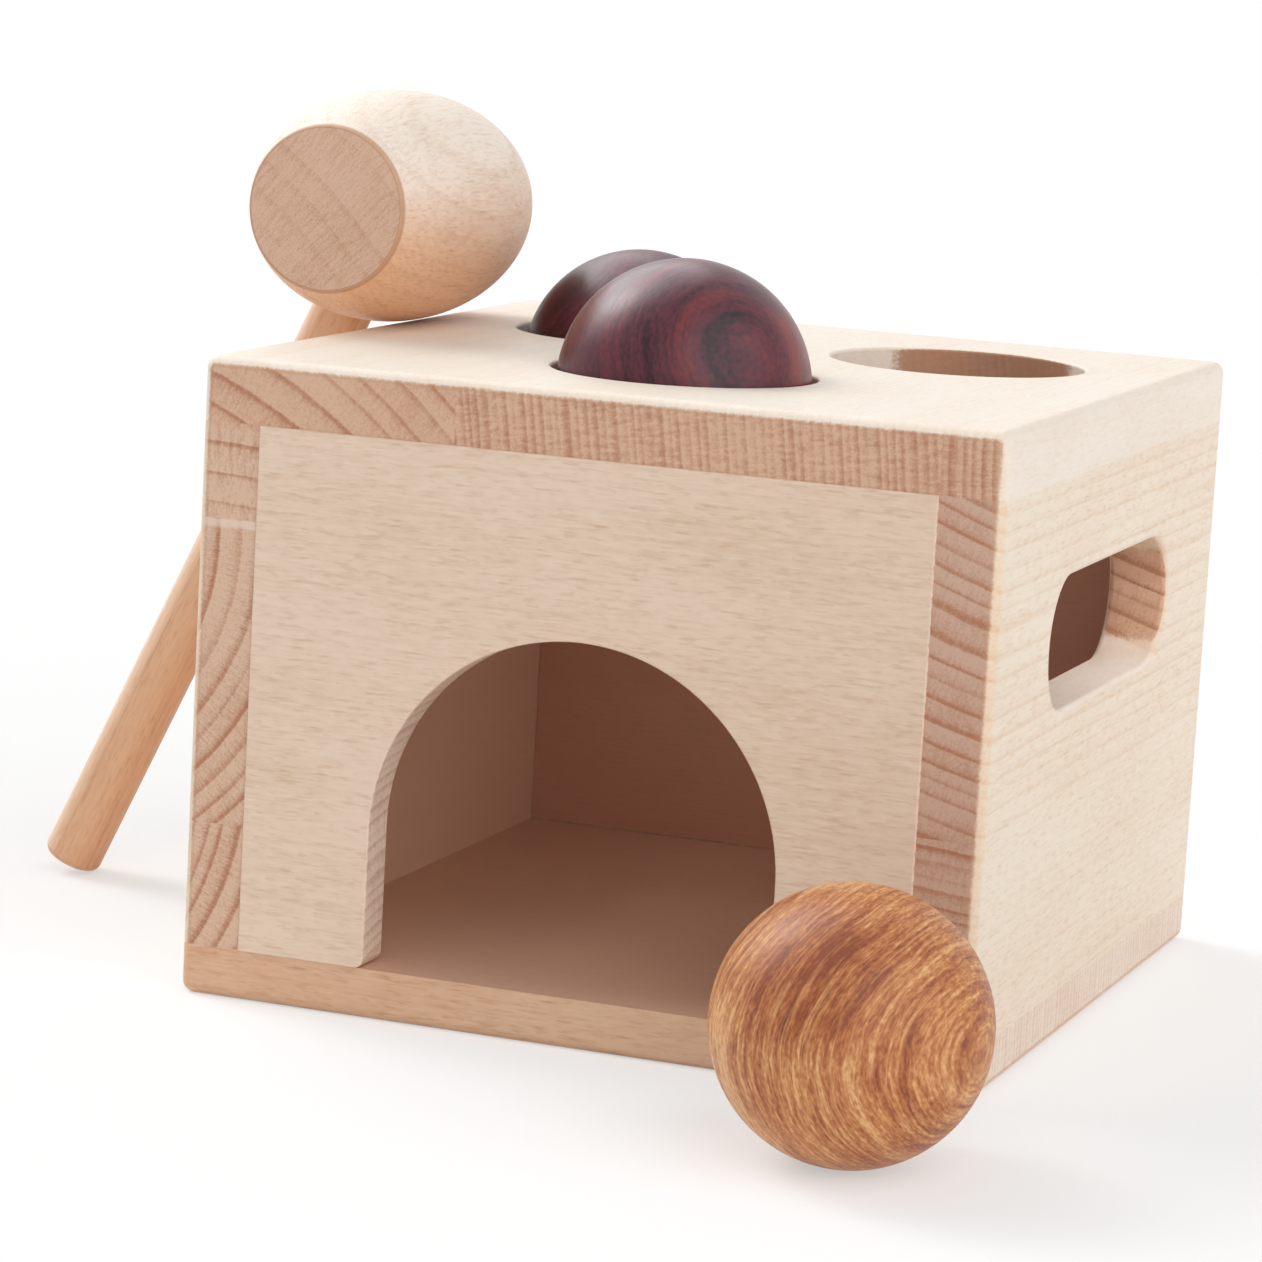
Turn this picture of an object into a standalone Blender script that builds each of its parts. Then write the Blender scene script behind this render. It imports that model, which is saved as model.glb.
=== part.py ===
# A ball pounding bench: a small box of glued beech boards on the floor, with three round
# holes in its top. An elastic ring in the wall of each hole holds a wooden ball until a
# mallet knocks it through, and the ball rolls out of the arched doorway in the front.
# Metres, +Z up, +X to the right and +Y to the back. The origin is the middle of the underside.

from math import acos, asin, atan2, cos, hypot, pi, radians, sin, sqrt

import bmesh
import bpy

# The box and the thickness of its panels
BENCH_WIDTH = 0.160
BENCH_DEPTH = 0.164
BENCH_HEIGHT = 0.125
TOP_THICKNESS = 0.0125
SIDE_THICKNESS = 0.0125
BOTTOM_THICKNESS = 0.010
FRONT_THICKNESS = 0.009
BACK_THICKNESS = 0.0125
FRONT_PROUD = 0.0005
OUTER_ROUND = 0.0025
PANEL_SOFTENING = 0.0004

# The boards that each panel is glued up from
TOP_LEFT_JOINT_FROM_HOLE = 0.0015
TOP_RIGHT_BOARD_WIDTH = 0.0125
LEFT_JOINT_ABOVE_SLOT = 0.001
LEFT_LOWER_BOARD_WIDTH = 0.0245
RIGHT_UPPER_BOARD_WIDTH = 0.063

# The balls, and how deep the middles of the held ones lie below the top
BALL_DIAMETER = 0.050
FRONT_BALL_DEPTH = 0.003
BACK_BALL_DEPTH = 0.007
LOOSE_BALL_AHEAD = 0.047
LOOSE_BALL_INSET = 0.008

# The pounding holes: one in front on the centre line, and a row of two behind it
HOLE_CLEARANCE = 0.002
HOLE_LIP_ROUND = 0.0007
HOLE_ROWS_APART = 0.0645
HOLES_BEHIND_MIDDLE = 0.00075
BACK_HOLES_APART = 0.0695
BACK_HOLES_RIGHT_OF_MIDDLE = 0.00125

# The elastic ring in each hole's wall
RING_CORD = 0.004
RING_ABOVE_UNDERSIDE = 0.0035

# The arched doorway in the front panel, its height taken from the floor of the box
DOOR_WIDTH = 0.082
DOOR_HEIGHT = 0.068
DOOR_FOOT_ROUND = 0.002

# The round-ended carrying slot in both sides
SLOT_LENGTH = 0.088
SLOT_HEIGHT = 0.026
SLOT_BELOW_TOP = 0.045
SLOT_LIP_ROUND = 0.0015

# The mallet: a barrel-shaped head on a plain dowel
HEAD_DIAMETER = 0.048
HEAD_END_DIAMETER = 0.033
HEAD_LENGTH = 0.072
HEAD_RIM_ROUND = 0.0008
HANDLE_DIAMETER = 0.0125
HANDLE_REACH = 0.161
HANDLE_PAST_CENTRE = 0.008
HANDLE_END_ROUND = 0.0015
HEAD_OVERHANG = 0.001
HEAD_FROM_FRONT = 0.090
HEAD_TIP_ANGLE = radians(1.8)

# Fits
GAP = 0.0003
CUT_OVERRUN = 0.004
MERGE_DISTANCE = 0.00001

# How finely the round shapes are divided
HOLE_STEPS = 40
RING_STEPS = 40
RING_SECTION_STEPS = 8
BALL_SEGMENTS = 32
BALL_RINGS = 16
HEAD_STEPS = 48
HEAD_PROFILE_STEPS = 14
HANDLE_STEPS = 28
ARCH_STEPS = 28
ROUND_STEPS = 3
SLOT_END_STEPS = 10
GROOVE_STEPS = 6

# Places that follow from the sizes above
HALF_WIDTH = BENCH_WIDTH / 2
HALF_DEPTH = BENCH_DEPTH / 2
INNER_HALF_WIDTH = HALF_WIDTH - SIDE_THICKNESS
TOP_UNDERSIDE = BENCH_HEIGHT - TOP_THICKNESS
INSIDE_FRONT = FRONT_THICKNESS - FRONT_PROUD - HALF_DEPTH
INSIDE_BACK = HALF_DEPTH - BACK_THICKNESS
BALL_RADIUS = BALL_DIAMETER / 2
HOLE_RADIUS = (BALL_DIAMETER + HOLE_CLEARANCE) / 2
HOLES_MIDDLE = (INSIDE_FRONT + INSIDE_BACK) / 2 + HOLES_BEHIND_MIDDLE
FRONT_HOLE_Y = HOLES_MIDDLE - HOLE_ROWS_APART / 2
BACK_HOLES_Y = HOLES_MIDDLE + HOLE_ROWS_APART / 2
HOLE_PLACES = {
    "front": (0, FRONT_HOLE_Y),
    "back_left": (BACK_HOLES_RIGHT_OF_MIDDLE - BACK_HOLES_APART / 2, BACK_HOLES_Y),
    "back_right": (BACK_HOLES_RIGHT_OF_MIDDLE + BACK_HOLES_APART / 2, BACK_HOLES_Y),
}

# The ring's cord touches the front ball below its middle, and that seat sets the ring's radius.
# The back ball lies deeper in a ring of the same size, so it is a little smaller.
RING_LEVEL = TOP_UNDERSIDE + RING_ABOVE_UNDERSIDE
RING_CORD_RADIUS = RING_CORD / 2
FRONT_BALL_LEVEL = BENCH_HEIGHT - FRONT_BALL_DEPTH
BACK_BALL_LEVEL = BENCH_HEIGHT - BACK_BALL_DEPTH
SEAT_DISTANCE = BALL_RADIUS + RING_CORD_RADIUS + GAP
RING_RADIUS = sqrt(SEAT_DISTANCE ** 2 - (FRONT_BALL_LEVEL - RING_LEVEL) ** 2)
BACK_BALL_RADIUS = hypot(RING_RADIUS, BACK_BALL_LEVEL - RING_LEVEL) - RING_CORD_RADIUS - GAP

# Colours, roughness and metallic value of each sub-part
BEECH_TOP = (0.80, 0.66, 0.50)
BEECH_SIDE = (0.76, 0.61, 0.45)
BEECH_FRONT = (0.66, 0.47, 0.31)
BEECH_BACK = (0.52, 0.33, 0.21)
BEECH_BOTTOM = (0.62, 0.40, 0.25)
BEECH_HANDLE = (0.68, 0.42, 0.24)
ROSEWOOD_RED = (0.14, 0.035, 0.035)
ROSEWOOD_DARK = (0.09, 0.025, 0.035)
BROWN_STRIPED = (0.42, 0.17, 0.06)
RING_RUBBER = (0.10, 0.07, 0.055)
WOOD_ROUGHNESS = 0.55
POLISHED_ROUGHNESS = 0.35
RUBBER_ROUGHNESS = 0.7


def clear_scene():
    for old in list(bpy.data.objects):
        bpy.data.objects.remove(old, do_unlink=True)


def new_collection(name):
    collection = bpy.data.collections.new(name)
    bpy.context.scene.collection.children.link(collection)
    return collection


def put_in(collection, obj):
    for home in list(obj.users_collection):
        home.objects.unlink(obj)
    collection.objects.link(obj)


def finish_piece(obj, name, colour, roughness, metallic=0.0):
    """Name a sub-part, give it its own material and file it with the bench."""
    obj.name = name
    obj.data.name = name
    paint = bpy.data.materials.new(name)
    paint.use_nodes = True
    shader = paint.node_tree.nodes["Principled BSDF"]
    shader.inputs["Base Color"].default_value = (*colour, 1)
    shader.inputs["Roughness"].default_value = roughness
    shader.inputs["Metallic"].default_value = metallic
    paint.diffuse_color = (*colour, 1)
    obj.data.materials.clear()
    obj.data.materials.append(paint)
    put_in(BENCH, obj)
    return obj


def finish_cutter(obj, name):
    obj.name = name
    obj.hide_render = True
    obj.display_type = "WIRE"
    put_in(CUTTERS, obj)
    return obj


def boolean(obj, cutter, operation):
    step = obj.modifiers.new(cutter.name, "BOOLEAN")
    step.operation = operation
    step.solver = "EXACT"
    step.object = cutter


def shade_round(obj):
    obj.data.shade_smooth()
    obj.data.set_sharp_from_angle(angle=radians(35))


def block(low, high):
    """A rectangular block between two corners."""
    middle = [(a + b) / 2 for a, b in zip(low, high)]
    bpy.ops.mesh.primitive_cube_add(size=1, location=middle)
    obj = bpy.context.active_object
    obj.scale = [b - a for a, b in zip(low, high)]
    bpy.ops.object.transform_apply(location=False, rotation=False, scale=True)
    return obj


def arc(centre, radius, start, end, steps):
    """Points along an arc, from the start angle to the end angle."""
    angles = [start + (end - start) * i / steps for i in range(steps + 1)]
    return [(centre[0] + radius * cos(a), centre[1] + radius * sin(a)) for a in angles]


def turned(profile, steps):
    """A solid turned about Z from a profile of (radius, height) points, listed top to bottom."""
    mesh = bpy.data.meshes.new("turned")
    shape = bmesh.new()
    points = [shape.verts.new((radius, 0, height)) for radius, height in profile]
    for first, second in zip(points, points[1:]):
        shape.edges.new((first, second))
    shape.to_mesh(mesh)
    shape.free()
    obj = bpy.data.objects.new("turned", mesh)
    bpy.context.scene.collection.objects.link(obj)
    screw = obj.modifiers.new("turn", "SCREW")
    screw.steps = steps
    screw.render_steps = steps
    screw.use_merge_vertices = True
    screw.merge_threshold = MERGE_DISTANCE
    screw.use_smooth_shade = True
    return obj


def soft_panel(outline, thickness, softening):
    """A flat panel in XY from its outline, centred on Z, with its edges softened."""
    curve = bpy.data.curves.new("panel", "CURVE")
    curve.dimensions = "2D"
    curve.fill_mode = "BOTH"
    curve.extrude = thickness / 2 - softening
    curve.bevel_depth = softening
    curve.bevel_resolution = 1
    curve.offset = -softening
    line = curve.splines.new("POLY")
    line.points.add(len(outline) - 1)
    for point, (x, y) in zip(line.points, outline):
        point.co = (x, y, 0, 1)
    line.use_cyclic_u = True
    drawn = bpy.data.objects.new("panel", curve)
    bpy.context.scene.collection.objects.link(drawn)
    graph = bpy.context.evaluated_depsgraph_get()
    mesh = bpy.data.meshes.new_from_object(drawn.evaluated_get(graph))
    bpy.data.objects.remove(drawn, do_unlink=True)
    shape = bmesh.new()
    shape.from_mesh(mesh)
    bmesh.ops.remove_doubles(shape, verts=shape.verts, dist=MERGE_DISTANCE)
    bmesh.ops.recalc_face_normals(shape, faces=shape.faces)
    shape.to_mesh(mesh)
    shape.free()
    obj = bpy.data.objects.new("panel", mesh)
    bpy.context.scene.collection.objects.link(obj)
    return obj


def rounded_lip(radius, round_size, surface, inward):
    """(growth, level) pairs across a lip rounded where an opening meets a surface."""
    pairs = []
    for i in range(ROUND_STEPS + 1):
        angle = pi / 2 * i / ROUND_STEPS
        growth = round_size * (1 - sin(angle))
        level = surface + inward * round_size * (1 - cos(angle))
        pairs.append((radius + growth, level))
    return pairs


def hole_cutter(name, place):
    """Cuts a pounding hole: rounded lips above and below, and the ring's half-round groove."""
    x, y = place
    groove_radius = RING_CORD_RADIUS + GAP
    half_opening = acos((HOLE_RADIUS - RING_RADIUS) / groove_radius)
    groove = arc((RING_RADIUS, RING_LEVEL), groove_radius, half_opening, -half_opening, GROOVE_STEPS)
    top_lip = rounded_lip(HOLE_RADIUS, HOLE_LIP_ROUND, BENCH_HEIGHT, -1)
    bottom_lip = rounded_lip(HOLE_RADIUS, HOLE_LIP_ROUND, TOP_UNDERSIDE, 1)
    above = BENCH_HEIGHT + CUT_OVERRUN
    below = TOP_UNDERSIDE - CUT_OVERRUN
    profile = [(0, above), (top_lip[0][0], above)]
    profile += top_lip + groove + bottom_lip[::-1]
    profile += [(bottom_lip[0][0], below), (0, below)]
    cutter = turned(profile, HOLE_STEPS)
    cutter.location = (x, y, 0)
    return finish_cutter(cutter, name)


def slot_outline(half_run, radius):
    """The round-ended slot, as points about its middle, all round."""
    right_end = arc((half_run, 0), radius, -pi / 2, pi / 2, SLOT_END_STEPS)
    left_end = arc((-half_run, 0), radius, pi / 2, 3 * pi / 2, SLOT_END_STEPS)
    return right_end + left_end


def slot_cutter(name, side):
    """Cuts the carrying slot through one side, with both of its lips rounded."""
    half_run = (SLOT_LENGTH - SLOT_HEIGHT) / 2
    radius = SLOT_HEIGHT / 2
    height = BENCH_HEIGHT - SLOT_BELOW_TOP
    inner_lip = rounded_lip(radius, SLOT_LIP_ROUND, INNER_HALF_WIDTH, 1)
    outer_lip = rounded_lip(radius, SLOT_LIP_ROUND, HALF_WIDTH, -1)
    stations = [(inner_lip[0][0], INNER_HALF_WIDTH - CUT_OVERRUN)]
    stations += inner_lip + outer_lip[::-1]
    stations += [(outer_lip[0][0], HALF_WIDTH + CUT_OVERRUN)]
    shape = bmesh.new()
    loops = []
    for loop_radius, across in stations:
        outline = slot_outline(half_run, loop_radius)
        loops.append([shape.verts.new((side * across, y, height + z)) for y, z in outline])
    count = len(loops[0])
    for near, far in zip(loops, loops[1:]):
        for i in range(count):
            j = (i + 1) % count
            shape.faces.new((near[i], near[j], far[j], far[i]))
    shape.faces.new(loops[0])
    shape.faces.new(loops[-1])
    bmesh.ops.recalc_face_normals(shape, faces=shape.faces)
    mesh = bpy.data.meshes.new(name)
    shape.to_mesh(mesh)
    shape.free()
    cutter = bpy.data.objects.new(name, mesh)
    bpy.context.scene.collection.objects.link(cutter)
    return finish_cutter(cutter, name)


def outer_block():
    """The whole box with its outer edges rounded, which trims every board that shows outside."""
    obj = block((-HALF_WIDTH, -HALF_DEPTH, 0), (HALF_WIDTH, HALF_DEPTH, BENCH_HEIGHT))
    rounding = obj.modifiers.new("outer round", "BEVEL")
    rounding.width = OUTER_ROUND
    rounding.segments = ROUND_STEPS
    rounding.limit_method = "NONE"
    return finish_cutter(obj, "outer_block")


def board(name, low, high, colour, trim, cutters):
    """One board: cut to length, glued in place, then trimmed and cut with its panel."""
    obj = block(low, high)
    boolean(obj, trim, "INTERSECT")
    for cutter in cutters:
        boolean(obj, cutter, "DIFFERENCE")
    return finish_piece(obj, name, colour, WOOD_ROUGHNESS)


def make_top(trim):
    """Three boards side by side, bored through with the pounding holes. The left joint passes
    close by the front hole and through the back left one."""
    first_joint = HOLE_PLACES["front"][0] - HOLE_RADIUS - TOP_LEFT_JOINT_FROM_HOLE
    second_joint = HALF_WIDTH - TOP_RIGHT_BOARD_WIDTH
    bounds = {
        "top_board_left": (-HALF_WIDTH - CUT_OVERRUN, first_joint - GAP / 2),
        "top_board_middle": (first_joint + GAP / 2, second_joint - GAP / 2),
        "top_board_right": (second_joint + GAP / 2, HALF_WIDTH + CUT_OVERRUN),
    }
    cutters = {place: hole_cutter("hole_" + place, HOLE_PLACES[place]) for place in HOLE_PLACES}
    reach = RING_RADIUS + RING_CORD_RADIUS + GAP
    for name, (left, right) in bounds.items():
        low = (left, -HALF_DEPTH - CUT_OVERRUN, TOP_UNDERSIDE)
        high = (right, HALF_DEPTH + CUT_OVERRUN, BENCH_HEIGHT + CUT_OVERRUN)
        crossed = []
        for place, (x, y) in HOLE_PLACES.items():
            if x + reach > left and x - reach < right:
                crossed.append(cutters[place])
        board(name, low, high, BEECH_TOP, trim, crossed)


def make_side(side, bounds, trim):
    """The boards of one side, stacked on the bottom panel and cut by the carrying slot."""
    cutter = slot_cutter("slot_left" if side < 0 else "slot_right", side)
    slot_middle = BENCH_HEIGHT - SLOT_BELOW_TOP
    reach = SLOT_HEIGHT / 2 + SLOT_LIP_ROUND
    for name, (bottom, top) in bounds.items():
        crossed = []
        if slot_middle + reach > bottom and slot_middle - reach < top:
            crossed.append(cutter)
        ends = sorted((side * INNER_HALF_WIDTH, side * (HALF_WIDTH + CUT_OVERRUN)))
        low = (ends[0], -HALF_DEPTH - CUT_OVERRUN, bottom)
        high = (ends[1], HALF_DEPTH + CUT_OVERRUN, top)
        board(name, low, high, BEECH_SIDE, trim, crossed)


def make_sides(trim):
    foot = BOTTOM_THICKNESS + GAP
    head = TOP_UNDERSIDE - GAP
    left_low = BOTTOM_THICKNESS + LEFT_LOWER_BOARD_WIDTH
    left_high = BENCH_HEIGHT - SLOT_BELOW_TOP + SLOT_HEIGHT / 2 + LEFT_JOINT_ABOVE_SLOT
    right_joint = TOP_UNDERSIDE - RIGHT_UPPER_BOARD_WIDTH
    make_side(-1, {
        "left_board_lower": (foot, left_low - GAP / 2),
        "left_board_middle": (left_low + GAP / 2, left_high - GAP / 2),
        "left_board_upper": (left_high + GAP / 2, head),
    }, trim)
    make_side(1, {
        "right_board_lower": (foot, right_joint - GAP / 2),
        "right_board_upper": (right_joint + GAP / 2, head),
    }, trim)


def make_bottom(trim):
    low = (-HALF_WIDTH - CUT_OVERRUN, -HALF_DEPTH - CUT_OVERRUN, -CUT_OVERRUN)
    high = (HALF_WIDTH + CUT_OVERRUN, HALF_DEPTH + CUT_OVERRUN, BOTTOM_THICKNESS)
    board("bottom_panel", low, high, BEECH_BOTTOM, trim, [])


def make_back():
    """A plain panel between the sides, flush with their back ends."""
    half_width = INNER_HALF_WIDTH - GAP
    outline = [
        (-half_width, BOTTOM_THICKNESS + GAP),
        (half_width, BOTTOM_THICKNESS + GAP),
        (half_width, TOP_UNDERSIDE - GAP),
        (-half_width, TOP_UNDERSIDE - GAP),
    ]
    obj = soft_panel(outline, BACK_THICKNESS, PANEL_SOFTENING)
    obj.location = (0, (INSIDE_BACK + HALF_DEPTH) / 2, 0)
    obj.rotation_euler = (pi / 2, 0, 0)
    finish_piece(obj, "back_panel", BEECH_BACK, WOOD_ROUGHNESS)


def make_front():
    """The front panel with its doorway: round-headed, straight jambs, rounded at their feet."""
    half_width = INNER_HALF_WIDTH - GAP
    foot = BOTTOM_THICKNESS + GAP
    door_radius = DOOR_WIDTH / 2
    spring = BOTTOM_THICKNESS + DOOR_HEIGHT - door_radius
    turn = DOOR_FOOT_ROUND
    left_foot = arc((-door_radius - turn, foot + turn), turn, -pi / 2, 0, ROUND_STEPS)
    head = arc((0, spring), door_radius, pi, 0, ARCH_STEPS)
    right_foot = arc((door_radius + turn, foot + turn), turn, pi, 3 * pi / 2, ROUND_STEPS)
    outline = [(-half_width, foot)] + left_foot + head + right_foot
    outline += [(half_width, foot), (half_width, TOP_UNDERSIDE - GAP)]
    outline += [(-half_width, TOP_UNDERSIDE - GAP)]
    obj = soft_panel(outline, FRONT_THICKNESS, PANEL_SOFTENING)
    obj.location = (0, INSIDE_FRONT - FRONT_THICKNESS / 2, 0)
    obj.rotation_euler = (pi / 2, 0, 0)
    finish_piece(obj, "front_panel", BEECH_FRONT, WOOD_ROUGHNESS)


def make_rings():
    """One elastic ring in the groove of each hole."""
    for place, (x, y) in HOLE_PLACES.items():
        bpy.ops.mesh.primitive_torus_add(
            major_radius=RING_RADIUS,
            minor_radius=RING_CORD_RADIUS,
            major_segments=RING_STEPS,
            minor_segments=RING_SECTION_STEPS,
            location=(x, y, RING_LEVEL),
        )
        ring = bpy.context.active_object
        shade_round(ring)
        finish_piece(ring, "ring_" + place, RING_RUBBER, RUBBER_ROUGHNESS)


def make_ball(name, place, radius, colour):
    bpy.ops.mesh.primitive_uv_sphere_add(
        radius=radius, segments=BALL_SEGMENTS, ring_count=BALL_RINGS, location=place
    )
    ball = bpy.context.active_object
    ball.data.shade_smooth()
    finish_piece(ball, name, colour, POLISHED_ROUGHNESS)


def make_balls():
    """Two balls on the rings of their holes, and one loose on the floor by the front corner."""
    front = (*HOLE_PLACES["front"], FRONT_BALL_LEVEL)
    back = (*HOLE_PLACES["back_left"], BACK_BALL_LEVEL)
    loose = (HALF_WIDTH - LOOSE_BALL_INSET, -HALF_DEPTH - LOOSE_BALL_AHEAD, BALL_RADIUS)
    make_ball("ball_front", front, BALL_RADIUS, ROSEWOOD_RED)
    make_ball("ball_back_left", back, BACK_BALL_RADIUS, ROSEWOOD_DARK)
    make_ball("ball_loose", loose, BALL_RADIUS, BROWN_STRIPED)


def head_profile():
    """The barrel: part of an ellipse between two flat ends, with softened rims."""
    half = HEAD_LENGTH / 2
    middle = HEAD_DIAMETER / 2
    end = HEAD_END_DIAMETER / 2
    half_axis = half / sqrt(1 - (end / middle) ** 2)
    shoulder = half - HEAD_RIM_ROUND
    points = [(0, half), (end - HEAD_RIM_ROUND, half)]
    for i in range(HEAD_PROFILE_STEPS + 1):
        along = shoulder - 2 * shoulder * i / HEAD_PROFILE_STEPS
        points.append((middle * sqrt(1 - (along / half_axis) ** 2), along))
    points += [(end - HEAD_RIM_ROUND, -half), (0, -half)]
    return points


def handle_profile():
    """A straight dowel hanging down from the middle of the head, its ends rounded over."""
    radius = HANDLE_DIAMETER / 2
    turn = HANDLE_END_ROUND
    top = HANDLE_PAST_CENTRE - GAP
    upper = arc((radius - turn, top - turn), turn, pi / 2, 0, ROUND_STEPS)
    lower = arc((radius - turn, turn - HANDLE_REACH), turn, 0, -pi / 2, ROUND_STEPS)
    return [(0, top)] + upper + lower + [(0, -HANDLE_REACH)]


def mallet_place():
    """Where the head's middle lies, and how far the mallet leans with its handle's foot on the
    floor. The head lies on the rounded left edge. A mallet with a handle too short to lean clear
    of that edge stands upright beside it instead, with its head or its handle against it."""
    handle_radius = HANDLE_DIAMETER / 2
    edge_x = -HALF_WIDTH + OUTER_ROUND
    edge_z = BENCH_HEIGHT - OUTER_ROUND
    y = HEAD_FROM_FRONT - HALF_DEPTH
    head_from_edge = HEAD_DIAMETER / 2 + OUTER_ROUND + GAP
    handle_from_edge = handle_radius + OUTER_ROUND + GAP
    across = HEAD_OVERHANG + OUTER_ROUND
    up = sqrt(head_from_edge ** 2 - across ** 2)
    steepest = asin(handle_from_edge / head_from_edge) - atan2(across, up)
    if HANDLE_REACH * cos(steepest) + handle_radius * sin(steepest) < edge_z + up:
        rise = max(HANDLE_REACH - edge_z, 0)
        across = max(sqrt(max(head_from_edge ** 2 - rise ** 2, 0)), handle_from_edge)
        return (edge_x - across, y, HANDLE_REACH), 0
    lean = atan2(handle_radius, HANDLE_REACH)
    lean += acos((edge_z + up) / hypot(HANDLE_REACH, handle_radius))
    return (edge_x - across, y, edge_z + up), lean


def make_mallet():
    """The mallet leans on the box: its head on the left edge, its handle's foot on the floor."""
    place, lean = mallet_place()
    carrier = bpy.data.objects.new("mallet", None)
    carrier.location = place
    carrier.rotation_euler = (-HEAD_TIP_ANGLE, lean, 0)
    put_in(BENCH, carrier)
    head = turned(head_profile(), HEAD_STEPS)
    head.rotation_euler = (pi / 2, 0, 0)
    head.parent = carrier
    handle = turned(handle_profile(), HANDLE_STEPS)
    handle.parent = carrier
    socket_depth = HANDLE_PAST_CENTRE + HEAD_DIAMETER / 2 + CUT_OVERRUN
    bpy.ops.mesh.primitive_cylinder_add(
        radius=HANDLE_DIAMETER / 2 + GAP, depth=socket_depth, vertices=HANDLE_STEPS
    )
    socket = bpy.context.active_object
    socket.location = (0, 0, HANDLE_PAST_CENTRE - socket_depth / 2)
    socket.parent = carrier
    finish_cutter(socket, "handle_socket")
    boolean(head, socket, "DIFFERENCE")
    finish_piece(head, "mallet_head", BEECH_SIDE, WOOD_ROUGHNESS)
    finish_piece(handle, "mallet_handle", BEECH_HANDLE, WOOD_ROUGHNESS)


clear_scene()
BENCH = new_collection("ball pounding bench")
CUTTERS = new_collection("cutters")
TRIM = outer_block()
make_bottom(TRIM)
make_sides(TRIM)
make_back()
make_front()
make_top(TRIM)
make_rings()
make_balls()
make_mallet()
bpy.context.view_layer.update()
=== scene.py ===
"""The looks of the ball pounding bench: glued beech boards, turned balls and a leaning mallet.

Metres, +Z up, +X to the right of the doorway front and +Y to the back, as in the frame.
Every board has a solid wood grain of its own: growth rings round a heart that lies outside
the board, rays across them, and short flecks along the grain.
"""

from math import acos, atan2, cos, hypot, pi, radians, sin, sqrt, tan

import bmesh
import bpy
from mathutils import Euler, Matrix, Vector, noise


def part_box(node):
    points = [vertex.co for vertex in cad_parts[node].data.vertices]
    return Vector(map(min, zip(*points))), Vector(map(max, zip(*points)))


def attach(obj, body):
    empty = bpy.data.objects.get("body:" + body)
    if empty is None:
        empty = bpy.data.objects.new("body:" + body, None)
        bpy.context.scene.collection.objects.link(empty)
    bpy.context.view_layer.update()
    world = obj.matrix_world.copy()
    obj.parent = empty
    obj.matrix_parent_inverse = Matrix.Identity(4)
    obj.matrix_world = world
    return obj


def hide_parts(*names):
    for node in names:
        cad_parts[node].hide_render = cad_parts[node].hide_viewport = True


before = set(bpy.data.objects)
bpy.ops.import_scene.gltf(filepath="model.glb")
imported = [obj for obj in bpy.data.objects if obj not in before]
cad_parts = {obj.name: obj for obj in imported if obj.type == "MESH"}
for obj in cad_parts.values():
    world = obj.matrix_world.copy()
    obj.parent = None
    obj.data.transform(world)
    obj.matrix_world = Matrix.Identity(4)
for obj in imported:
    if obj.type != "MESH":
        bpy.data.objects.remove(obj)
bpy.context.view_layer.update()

# Sizes that the solids have too
OUTER_ROUND = 0.0025
HOLE_RADIUS = 0.026
HOLE_LIP_ROUND = 0.0007
RING_CORD_RADIUS = 0.002
RING_GROOVE_RADIUS = 0.0023
DOOR_WIDTH = 0.082
DOOR_HEIGHT = 0.068
DOOR_FOOT_ROUND = 0.002
SLOT_LENGTH = 0.088
SLOT_HEIGHT = 0.026
SLOT_BELOW_TOP = 0.045
SLOT_LIP_ROUND = 0.0015
PANEL_SOFTENING = 0.0004
HEAD_DIAMETER = 0.048
HEAD_END_DIAMETER = 0.033
HEAD_LENGTH = 0.072
HEAD_RIM_ROUND = 0.0008
HANDLE_DIAMETER = 0.0125
HANDLE_REACH = 0.161
HANDLE_PAST_CENTRE = 0.008
HANDLE_END_ROUND = 0.0015
HEAD_OVERHANG = 0.001
HEAD_TIP_ANGLE = radians(1.8)
GAP = 0.0003

# Lengths used while building
CUT_OVERRUN = 0.004
MERGE_DISTANCE = 0.00001

# Fineness of the round shapes
HOLE_STEPS = 128
LIP_STEPS = 5
GROOVE_STEPS = 10
OUTER_STEPS = 5
SOFTENING_STEPS = 3
ARCH_STEPS = 72
SLOT_END_STEPS = 28
HEAD_STEPS = 128
HEAD_PROFILE_STEPS = 48
HANDLE_STEPS = 48
RING_STEPS = 96
RING_SECTION_STEPS = 20
BALL_CUTS = 40
SHARP_ANGLE = radians(32)
FLAT_ANGLE = radians(0.5)
FLAT_FACE_WEIGHT = 80


# Places read from the frame
def middle_of(node):
    low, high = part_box(node)
    return (low + high) / 2


def between(lower, upper, axis):
    """The plane halfway between two neighbouring boards, where their glue line runs."""
    return (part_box(lower)[1][axis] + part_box(upper)[0][axis]) / 2


BOX_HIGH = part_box("bottom_panel")[1]
HALF_WIDTH = BOX_HIGH.x
HALF_DEPTH = BOX_HIGH.y
FLOOR_LEVEL = BOX_HIGH.z
TOP_LOW, TOP_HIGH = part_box("top_board_middle")
BENCH_HEIGHT = TOP_HIGH.z
TOP_UNDERSIDE = TOP_LOW.z
INNER_HALF_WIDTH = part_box("back_panel")[1].x + GAP
HOLE_PLACES = {place: middle_of("ring_" + place) for place in ("front", "back_left", "back_right")}
RING_LEVEL = HOLE_PLACES["front"].z
RING_RADIUS = (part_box("ring_front")[1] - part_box("ring_front")[0]).x / 2 - RING_CORD_RADIUS
TOP_FIRST_JOINT = between("top_board_left", "top_board_middle", 0)
TOP_SECOND_JOINT = between("top_board_middle", "top_board_right", 0)
LEFT_LOW_JOINT = between("left_board_lower", "left_board_middle", 2)
LEFT_HIGH_JOINT = between("left_board_middle", "left_board_upper", 2)
RIGHT_JOINT = between("right_board_lower", "right_board_upper", 2)

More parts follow.
